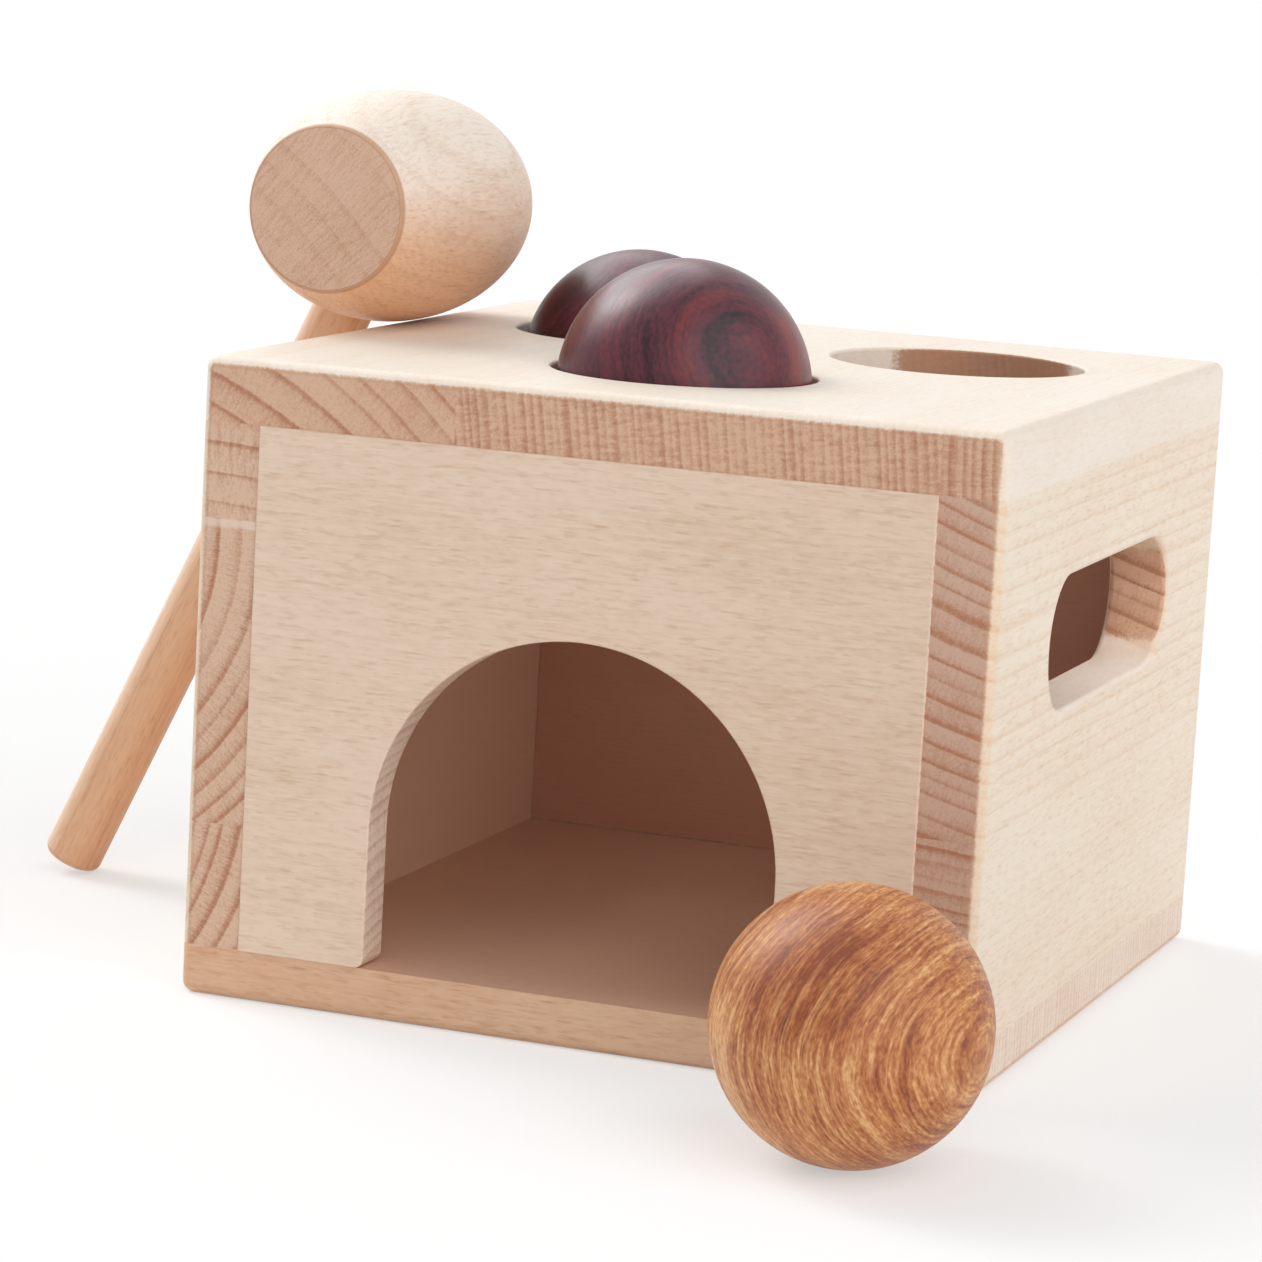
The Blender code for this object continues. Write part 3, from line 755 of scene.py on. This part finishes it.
# The top boards take painted shade on the end grain of their holes
TOP_LOOKS = {"pale": CREAM, "deep": CREAM_DEEP, "cut": HOLE_PAINTED_SHADE, "flecks": 0.3, "warm_round": 0.10,
             "arris": 0.45}
# Painted light in the slots: lighter end grain, and a paler lip where the long grain faces up
SLOT_LOOKS = {"cut": SLOT_END_PAINTED_LIGHT, "painted_light_and_shade": ((0.35, 0.85, SLOT_LIP_PAINTED_LIGHT, SLOT_LIP_PAINTED_LIGHT_DEEP, 0.9),)}


def make_top():
    top_board("top_board_left", -WIDE, TOP_FIRST_JOINT, ("front", "back_left"), outer_board(
        "beech_top_left", heart_from((-0.055, 0.119), -33, 0.105), spacing=0.0049,
        late=0.26, long_lines=0.2, end_lines=0.88, rays=0.5, waver=0.6, faces=(UNDERSIDE_PAINTED_SHADE,), **TOP_LOOKS))
    top_board("top_board_middle", TOP_FIRST_JOINT, TOP_SECOND_JOINT, HOLE_PLACES, outer_board(
        "beech_top_middle", heart_from((0.01, 0.119), 98, 0.320, side=-1), spacing=0.0018,
        late=0.65, long_lines=0.12, end_lines=0.55, rays=0.9, faces=(UNDERSIDE_PAINTED_SHADE,), **TOP_LOOKS))
    top_board("top_board_right", TOP_SECOND_JOINT, WIDE, (), outer_board(
        "beech_top_right", heart_from((0.073, 0.119), 92, 0.260), spacing=0.0019,
        late=0.6, long_lines=0.2, end_lines=0.65, rays=0.8, **TOP_LOOKS))


def make_left_side():
    side_board("left_board_upper", -1, LEFT_HIGH_JOINT, TOP_UNDERSIDE, True, outer_board(
        "beech_left_upper", heart_from((-0.074, 0.103), -2, 0.140), spacing=0.0052,
        end=LEFT_END, late=0.20, end_lines=0.95, rays=0.9, waver=0.4, faces=(LEFT_INNER_PAINTED_SHADE,), **SLOT_LOOKS))
    side_board("left_board_middle", -1, LEFT_LOW_JOINT, LEFT_HIGH_JOINT, True, outer_board(
        "beech_left_middle", heart_from((-0.074, 0.065), 62, 0.055, side=-1), spacing=0.0040,
        end=LEFT_END, late=0.36, end_lines=0.95, rays=0.7, waver=0.5, faces=(LEFT_INNER_PAINTED_SHADE,),
        bands=(SAP_BAND,), **SLOT_LOOKS))
    side_board("left_board_lower", -1, FLOOR_LEVEL, LEFT_LOW_JOINT, False, outer_board(
        "beech_left_lower", heart_from((-0.074, 0.022), 68, 0.065, side=-1), spacing=0.0034,
        end=LEFT_END, late=0.38, end_lines=0.90, rays=0.8, waver=0.5, faces=(LEFT_INNER_PAINTED_SHADE,)))


def make_right_side():
    side_board("right_board_upper", 1, RIGHT_JOINT, TOP_UNDERSIDE, True, outer_board(
        "beech_right_upper", heart_from((0.074, 0.080), -17, 0.160, side=-1), spacing=0.0036,
        end=END_GREY, late=0.3, long_lines=0.45, end_lines=0.95, rays=0.5, waver=0.6,
        faces=(RIGHT_INNER_PAINTED_SHADE,), **SLOT_LOOKS))
    side_board("right_board_lower", 1, FLOOR_LEVEL, RIGHT_JOINT, False, outer_board(
        "beech_right_lower", heart_from((0.074, 0.03), -6, 0.200), spacing=0.0026,
        end=END_GREY, late=0.4, long_lines=0.2, end_lines=0.95, rays=0.5, faces=(RIGHT_INNER_PAINTED_SHADE,)))


def make_bottom():
    wood = beech(
        "beech_bottom", "X", heart_from((0.0, 0.005), 92, 0.300), spacing=0.0021,
        pale=BASE_TAN, deep=BASE_DEEP, end=END_PALE, line=END_PALE_LINE, late=0.5, long_lines=0.25,
        end_lines=0.5, flecks=0.45, half_length=HALF_WIDTH, faces=(INNER_FLOOR_PAINTED_SHADE,))
    low = (-WIDE, -DEEP, -CUT_OVERRUN)
    board("bottom_panel", low, (WIDE, DEEP, FLOOR_LEVEL), [], wood)


def make_back():
    outline = [
        (-INNER_HALF_WIDTH, FLOOR_LEVEL),
        (INNER_HALF_WIDTH, FLOOR_LEVEL),
        (INNER_HALF_WIDTH, TOP_UNDERSIDE),
        (-INNER_HALF_WIDTH, TOP_UNDERSIDE),
    ]
    # Painted shade on the back panel's inner face
    back_painted_shade = ("Y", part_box("back_panel")[0].y, BACK_PAINTED_SHADE_TAN, 0.9)
    wood = beech(
        "beech_back", "X", heart_from((0.075, 0.06), 80, 0.09), spacing=0.0045,
        pale=SIDE_CREAM, deep=SIDE_DEEP, end=END_TAN, line=END_LINE, faces=(back_painted_shade,))
    obj = soft_panel("back_panel", outline)
    finish_piece(obj, "visual_back_panel", wood, "box", "back_panel")


def make_front():
    """The front panel with its doorway: round-headed, straight jambs, rounded at their feet."""
    door_radius = DOOR_WIDTH / 2
    spring = FLOOR_LEVEL + DOOR_HEIGHT - door_radius
    turn = DOOR_FOOT_ROUND
    foot = FLOOR_LEVEL
    outline = [(-INNER_HALF_WIDTH, foot)]
    outline += arc((-door_radius - turn, foot + turn), turn, -pi / 2, 0, LIP_STEPS)
    outline += arc((0, spring), door_radius, pi, 0, ARCH_STEPS)
    outline += arc((door_radius + turn, foot + turn), turn, pi, 3 * pi / 2, LIP_STEPS)
    outline += [(INNER_HALF_WIDTH, foot)]
    outline += [(INNER_HALF_WIDTH, TOP_UNDERSIDE), (-INNER_HALF_WIDTH, TOP_UNDERSIDE)]
    wood = beech(
        "beech_front", "X", heart_from((-0.078, 0.07), 8, 0.150), spacing=0.0026,
        pale=TAN, deep=TAN_DEEP, end=JAMB_TAN, line=JAMB_LINE, late=0.5, long_lines=0.12,
        end_lines=0.45, warm_round=0.1, arris=0.1)
    obj = soft_panel("front_panel", outline)
    finish_piece(obj, "visual_front_panel", wood, "box", "front_panel")


make_top()
make_left_side()
make_right_side()
make_bottom()
make_back()
make_front()
for helper in (TRIM, *HOLES.values(), *SLOTS.values()):
    bpy.data.objects.remove(helper, do_unlink=True)

# The elastic rings
CORD_GRAIN = 900
CORD_ROUGHNESS = 0.42
CORD_GRAIN_ROUGHNESS = 0.25
CORD_RELIEF_DEPTH = 0.00004


def rubber():
    graph = Graph("ring_rubber")
    grain = graph.noise(graph.coordinates.outputs["Object"], scale=CORD_GRAIN, detail=3)
    colour = graph.mix(grain, CORD_DARK, CORD_PALE)
    roughness = graph.add(graph.multiply(grain, CORD_GRAIN_ROUGHNESS), CORD_ROUGHNESS)
    return graph.finish(colour, roughness, grain, CORD_RELIEF_DEPTH)


def make_ring(place, material):
    """A closed ring of round elastic cord, laid in its groove."""
    section = arc((RING_RADIUS, RING_LEVEL), RING_CORD_RADIUS, 0, 2 * pi, RING_SECTION_STEPS)[:-1]
    shape = bmesh.new()
    loops = []
    for i in range(RING_STEPS):
        angle = 2 * pi * i / RING_STEPS
        loops.append([shape.verts.new((r * cos(angle), r * sin(angle), z)) for r, z in section])
    for near, far in zip(loops, loops[1:] + loops[:1]):
        join_loops(shape, near, far)
    obj = new_object("ring", mesh_from(shape, "ring"))
    obj.location = (HOLE_PLACES[place].x, HOLE_PLACES[place].y, 0)
    finish_piece(obj, "visual_ring_" + place, material, "box", "ring_" + place)


RUBBER = rubber()
for ring_place in HOLE_PLACES:
    make_ring(ring_place, RUBBER)

# The balls
FULL_BALL_RADIUS = 0.025
SANDING_DEPTH = 0.00006
SANDING_SCALE = 2.2
WAXED_SPECULAR = 0.36
# The streaks in layered wood, as (thickness across the layers, length along them)
SWIRL = (0.03, 0.024)
WOBBLE = (0.008, 0.006)
BROAD = (0.007, 0.07)
FINE = (0.0014, 0.030)
FINEST = (0.0007, 0.007)
SPECK = (0.0005, 0.0013)
# How strong the finest noise is in them
STREAK_NOISE_ROUGHNESS = 0.55
# The thin lines' length, and the noise at which one starts and is full
LINE_LENGTH = 0.020
LINE_EDGE = (0.07, 0.17)
# How far swirls and wobbles shift the layers, and how far swirls shift the bounds of a side
SWIRL_SHIFT = 0.0028
WOBBLE_SHIFT = 0.0004
SIDE_SWIRL = 0.6
# How far a face has to point to a side, from none to full
SIDE_REACH = (0.62, 0.98)
# How strongly zones change the tone, and the tones that the colours are spread over
ZONE_CONTRAST = 0.8
LOWEST_TONE = 0.15
TONE_RANGE = 0.7
# How much the streaks roughen the polish, and how deep they lie
STREAK_ROUGHNESS = 0.2
BALL_RELIEF_DEPTH = 0.00004

ROSEWOOD_FRONT = {
    "axis": (0.743, -0.569, 0.353),
    "colours": ROSEWOOD,
    "line_colour": (0.012, 0.003, 0.006),
    "lines": 0.3,
    "line_width": 0.0009,
    "weights": (0.7, 0.55, 0.5, 0.6),
    "zones": ((0.0, 0.46), (0.78, 0.40), (0.89, 0.38), (0.93, 0.66), (0.955, 0.44), (0.97, 0.16),
              (1.0, 0.22)),
    "sides": (((0.95, 0.05, 0.20), 0.40),),
    "roughness": 0.32,
}
ROSEWOOD_BACK = {
    "axis": (0.75, 0.3, -0.6),
    "colours": PURPLEWOOD,
    "line_colour": (0.014, 0.004, 0.008),
    "lines": 0.2,
    "line_width": 0.0009,
    "weights": (0.7, 0.6, 0.6, 0.6),
    "zones": ((0.0, 0.5), (1.0, 0.5)),
    "sides": (),
    "roughness": 0.38,
}
STRIPED_LOOSE = {
    "axis": (0.997, -0.060, -0.043),
    "colours": STRIPED_BROWN,
    "line_colour": (0.84, 0.50, 0.24),
    "lines": 0.22,
    "line_width": 0.0007,
    "weights": (0.5, 0.85, 0.95, 0.7),
    "zones": ((0.0, 0.86), (0.28, 0.70), (0.55, 0.52), (0.8, 0.48), (1.0, 0.52)),
    "sides": (((-0.26, -0.70, 0.67), -0.34),),
    "roughness": 0.45,
    "bend": 18,
}


def across_axes(axis):
    """Two directions square to an axis and to each other."""
    first = Vector((0, 0, 1)).cross(axis).normalized()
    return first, axis.cross(first)


def striped_wood(name, axis, colours, line_colour, lines, line_width, weights, zones, sides, roughness,
                 bend=0):
    """Dense wood in layers across an axis, which a ball cuts into curved stripes round that axis.

    colours go from the darkest layer to the lightest. lines is how strongly thin lines of
    line_colour and line_width show among them. weights are those of the broad, the fine and the
    finest streaks and of the specks. zones are (share of the way from the ball's far pole to its
    near one, height) stops that lighten or darken whole sets of layers. sides are (direction,
    lightening) for one side of the ball. roughness is that of the polish, and bend is how
    strongly the layers curve along the axis above and below the middle.
    """
    graph = Graph(name)
    axis = Vector(axis).normalized()
    position = graph.coordinates.outputs["Object"]
    along, aside, above = (graph.dot(position, tuple(each)) for each in (axis, *across_axes(axis)))

    def layered(source, thickness, length, detail=2.0):
        vector = graph.join(graph.multiply(source, 1 / thickness), graph.multiply(aside, 1 / length),
                            graph.multiply(above, 1 / length))
        return graph.noise_round_0(vector, detail=detail, roughness=STREAK_NOISE_ROUGHNESS)

    swirl = layered(along, *SWIRL)
    wobble = layered(along, *WOBBLE, 1)
    layer = graph.total(
        (swirl, SWIRL_SHIFT), (graph.multiply(above, above), -bend), (wobble, WOBBLE_SHIFT), start=along)
    broad = layered(layer, *BROAD)
    fine = layered(layer, *FINE)
    finest = layered(layer, *FINEST)
    speck = layered(layer, *SPECK, 1)
    line = graph.step(layered(layer, line_width, LINE_LENGTH, 1), *LINE_EDGE)
    share = graph.add(graph.multiply(layer, 1 / (2 * FULL_BALL_RADIUS)), 0.5)
    zone = graph.subtract(graph.curve(share, zones), 0.5)

    tone = graph.add(graph.multiply(zone, ZONE_CONTRAST), 0.5)
    tone = graph.total(*zip((broad, fine, finest, speck), weights), start=tone)
    for direction, lightening in sides:
        facing = graph.dot(graph.coordinates.outputs["Normal"], tuple(Vector(direction).normalized()))
        reach = graph.step(graph.add(facing, graph.multiply(swirl, SIDE_SWIRL)), *SIDE_REACH)
        tone = graph.add(tone, graph.multiply(reach, lightening))
    last = len(colours) - 1
    stops = [(LOWEST_TONE + TONE_RANGE * i / last, colour) for i, colour in enumerate(colours)]
    colour = graph.mix(graph.multiply(line, lines), graph.ramp(tone, stops), line_colour)
    graph.feed(graph.shader.inputs["Specular IOR Level"], WAXED_SPECULAR)
    rough = graph.add(graph.multiply(finest, STREAK_ROUGHNESS), roughness)
    return graph.finish(colour, rough, graph.add(finest, speck), BALL_RELIEF_DEPTH)


def spread(value):
    """Spreads a cube's grid evenly over the ball that it is blown up to."""
    return tan(value * pi / 4)


def make_ball(node, body, material, seed):
    """A hand-sanded ball: a cube rounded out, with the slight flats that sanding leaves."""
    low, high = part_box(node)
    radius = (high - low).z / 2
    shape = bmesh.new()
    bmesh.ops.create_cube(shape, size=2)
    bmesh.ops.subdivide_edges(shape, edges=shape.edges, cuts=BALL_CUTS, use_grid_fill=True)
    for vertex in shape.verts:
        direction = Vector([spread(value) for value in vertex.co]).normalized()
        flat = abs(noise.noise(direction * SANDING_SCALE + Vector((seed, 0, 0))))
        vertex.co = direction * (radius - SANDING_DEPTH * flat)
    obj = new_object(node, mesh_from(shape, node))
    obj.location = middle_of(node)
    finish_piece(obj, "visual_" + node, material, body, node)


FRONT_WOOD = striped_wood("rosewood_front", **ROSEWOOD_FRONT)
BACK_WOOD = striped_wood("rosewood_back", **ROSEWOOD_BACK)
LOOSE_WOOD = striped_wood("striped_brown_wood", **STRIPED_LOOSE)
make_ball("ball_front", "front_ball", FRONT_WOOD, seed=1)
make_ball("ball_back_left", "back_left_ball", BACK_WOOD, seed=5)
make_ball("ball_loose", "loose_ball", LOOSE_WOOD, seed=9)


# The mallet
def mallet_pose():
    """The leaning mallet's place and turn, worked out as in the solids: the head lies on the
    rounded left edge and the handle's foot stands on the floor."""
    handle_radius = HANDLE_DIAMETER / 2
    from_edge = HEAD_DIAMETER / 2 + OUTER_ROUND + GAP
    across = HEAD_OVERHANG + OUTER_ROUND
    height = BENCH_HEIGHT - OUTER_ROUND + sqrt(from_edge ** 2 - across ** 2)
    lean = atan2(handle_radius, HANDLE_REACH) + acos(height / hypot(HANDLE_REACH, handle_radius))
    place = Vector((-HALF_WIDTH - HEAD_OVERHANG, middle_of("mallet_head").y, height))
    return place, Euler((-HEAD_TIP_ANGLE, lean, 0))


def place_turned(obj, place, turn):
    """Turns the mesh itself and moves the object, so that its box stays tight."""
    obj.data.transform(turn.to_matrix().to_4x4())
    obj.location = place


def make_head(place, turn):
    """The barrel-shaped head, its profile part of an ellipse."""
    half = HEAD_LENGTH / 2
    middle = HEAD_DIAMETER / 2
    end = HEAD_END_DIAMETER / 2
    half_axis = half / sqrt(1 - (end / middle) ** 2)
    shoulder = half - HEAD_RIM_ROUND
    rim_radius = middle * sqrt(1 - (shoulder / half_axis) ** 2)
    upper_rim = arc((rim_radius - HEAD_RIM_ROUND, shoulder), HEAD_RIM_ROUND, pi / 2, 0, LIP_STEPS)
    lower_rim = [(radius, -height) for radius, height in upper_rim[::-1]]
    barrel = []
    for i in range(1, HEAD_PROFILE_STEPS):
        along = shoulder - 2 * shoulder * i / HEAD_PROFILE_STEPS
        barrel.append((middle * sqrt(1 - (along / half_axis) ** 2), along))
    obj = turned("mallet_head", [(0, half)] + upper_rim + barrel + lower_rim + [(0, -half)], HEAD_STEPS)
    obj.data.transform(Matrix.Rotation(pi / 2, 4, "X"))
    place_turned(obj, place, turn)
    # Painted shade, warm and darker, where the head's long grain faces down
    wood = beech(
        "beech_head", "Y", heart_from((0, 0), -18, 0.13), spacing=0.0046,
        pale=HEAD_CREAM, deep=HEAD_DEEP, end=HEAD_END, line=END_LINE, late=0.3, long_lines=0.22,
        end_lines=0.20, flecks=0.4, rays=0.7, half_length=half, warm_round=0.0, arris=0.8,
        rim_line=0.0014, turn=tuple(turn), painted_light_and_shade=((0.68, -0.70, HEAD_PAINTED_SHADE, HEAD_PAINTED_SHADE_DEEP, 0.85),))
    finish_piece(obj, "visual_mallet_head", wood, "mallet", "mallet_head")


def make_handle(place, turn):
    """The dowel, from its blind socket in the head down to its foot."""
    radius = HANDLE_DIAMETER / 2
    rounding = HANDLE_END_ROUND
    top = HANDLE_PAST_CENTRE - GAP
    upper = arc((radius - rounding, top - rounding), rounding, pi / 2, 0, LIP_STEPS)
    lower = arc((radius - rounding, rounding - HANDLE_REACH), rounding, 0, -pi / 2, LIP_STEPS)
    obj = turned("mallet_handle", [(0, top)] + upper + lower + [(0, -HANDLE_REACH)], HANDLE_STEPS)
    place_turned(obj, place, turn)
    # Painted light where the handle faces up and painted shade where it faces down
    lit = (0.12, 0.42, HANDLE_PAINTED_LIGHT, HANDLE_PAINTED_LIGHT_DEEP, 0.75)
    below = (-0.02, -0.36, HANDLE_PAINTED_SHADE, HANDLE_PAINTED_SHADE_DEEP, 0.8)
    wood = beech(
        "beech_handle", "Z", heart_from((0, 0), 20, 0.06), spacing=0.0024,
        pale=HANDLE_TAN, deep=HANDLE_DEEP, end=END_TAN, line=END_LINE, long_lines=0.45, flecks=0.4,
        turn=tuple(turn), painted_light_and_shade=(lit, below))
    finish_piece(obj, "visual_mallet_handle", wood, "mallet", "mallet_handle")


MALLET_PLACE, MALLET_TURN = mallet_pose()
make_head(MALLET_PLACE, MALLET_TURN)
make_handle(MALLET_PLACE, MALLET_TURN)

# The stage
FLOOR_REACH = 40.0
FLOOR_DEPTH = 0.02
FLOOR_ROUGHNESS = 0.9
FLOOR_OWN_WHITE = 0.465
FLOOR_LIT = ((0.94, 0.94, 0.94), (0.96, 0.96, 0.96))
FLOOR_IN_VIEW = ((0.54, 0.54, 0.54), (0.56, 0.56, 0.56))
FLOOR_GRAIN = 3
WHITE = (1, 1, 1, 1)
WORLD_LIGHT = 0.38


def seen_directly(tree):
    """1 for the rays that the camera sends out, also where they are mirrored or transmitted."""
    path = tree.nodes.new("ShaderNodeLightPath")
    seen = path.outputs["Is Camera Ray"]
    for other in ("Is Glossy Ray", "Is Transmission Ray"):
        larger = tree.nodes.new("ShaderNodeMath")
        larger.operation = "MAXIMUM"
        tree.links.new(seen, larger.inputs[0])
        tree.links.new(path.outputs[other], larger.inputs[1])
        seen = larger.outputs[0]
    return seen


def make_floor():
    """A pale floor that reaches the horizon. Part of its white is given to the rays that see it
    alone, and the rest is lit, so that the object's shadow stays on it."""
    graph = Graph("pale_floor")
    grain = graph.noise(graph.coordinates.outputs["Object"], scale=FLOOR_GRAIN)
    seen = seen_directly(graph.tree)
    colour = graph.mix(seen, graph.mix(grain, *FLOOR_LIT), graph.mix(grain, *FLOOR_IN_VIEW))
    graph.feed(graph.shader.inputs["Base Color"], colour)
    graph.feed(graph.shader.inputs["Roughness"], FLOOR_ROUGHNESS)
    graph.feed(graph.shader.inputs["Specular IOR Level"], 0.0)
    graph.feed(graph.shader.inputs["Emission Color"], WHITE)
    graph.feed(graph.shader.inputs["Emission Strength"], graph.multiply(seen, FLOOR_OWN_WHITE))
    floor = block("floor", (-FLOOR_REACH, -FLOOR_REACH, -FLOOR_DEPTH), (FLOOR_REACH, FLOOR_REACH, 0))
    floor.data.materials.append(graph.material)


def make_world():
    """White behind the object, and a soft light of its own strength on everything else."""
    world = bpy.data.worlds.new("studio")
    bpy.context.scene.world = world
    world.use_nodes = True
    tree = world.node_tree
    seen = tree.nodes["Background"]
    light = tree.nodes.new("ShaderNodeBackground")
    mixer = tree.nodes.new("ShaderNodeMixShader")
    seen.inputs["Color"].default_value = WHITE
    seen.inputs["Strength"].default_value = 1
    light.inputs["Color"].default_value = WHITE
    light.inputs["Strength"].default_value = WORLD_LIGHT
    tree.links.new(seen_directly(tree), mixer.inputs[0])
    tree.links.new(light.outputs[0], mixer.inputs[1])
    tree.links.new(seen.outputs[0], mixer.inputs[2])
    tree.links.new(mixer.outputs[0], tree.nodes["World Output"].inputs["Surface"])


def soft_light(name, direction, spread_degrees, strength, gloss_only=False):
    """A broad, even light from a direction. With gloss_only it shows in reflections alone."""
    lamp = bpy.data.lights.new(name, "SUN")
    lamp.angle = radians(spread_degrees)
    lamp.energy = strength
    obj = new_object(name, lamp)
    obj.location = Vector(direction)
    obj.visible_diffuse = not gloss_only
    obj.rotation_euler = Vector(direction).to_track_quat("Z", "Y").to_euler()


make_floor()
make_world()
soft_light("light_left", (-0.71, 0.20, 0.67), 48, 0.99)
soft_light("light_window", (-0.71, 0.20, 0.67), 20, 0.56)
soft_light("light_sheen", (-0.54, 0.46, 0.70), 56, 1.5, gloss_only=True)
soft_light("light_right", (0.74, -0.38, 0.55), 75, 1.30)
soft_light("light_front", (0.45, -0.80, 0.40), 60, 0.30)

# The camera, solved from the box's edges in the photograph
PHOTO_WIDTH_PX = 1262
FOCAL_PX = 4619.2
SENSOR = 36.0
CAMERA_PLACE = (0.30276, -0.87521, 0.21983)
CAMERA_YAW = radians(20.27)
CAMERA_PITCH = radians(9.30)
CAMERA_ROLL = radians(3.217)
CLIP_START = 0.01
CLIP_END = 100


def make_camera():
    data = bpy.data.cameras.new("photo_camera")
    data.sensor_width = SENSOR
    data.lens = SENSOR * FOCAL_PX / PHOTO_WIDTH_PX
    data.clip_start = CLIP_START
    data.clip_end = CLIP_END
    camera = new_object("photo_camera", data)
    turn = Matrix.Rotation(CAMERA_YAW, 4, "Z") @ Matrix.Rotation(pi / 2 - CAMERA_PITCH, 4, "X")
    turn = turn @ Matrix.Rotation(CAMERA_ROLL, 4, "Z")
    camera.matrix_world = Matrix.Translation(CAMERA_PLACE) @ turn
    bpy.context.scene.camera = camera


make_camera()
bpy.context.scene.view_settings.view_transform = "Standard"
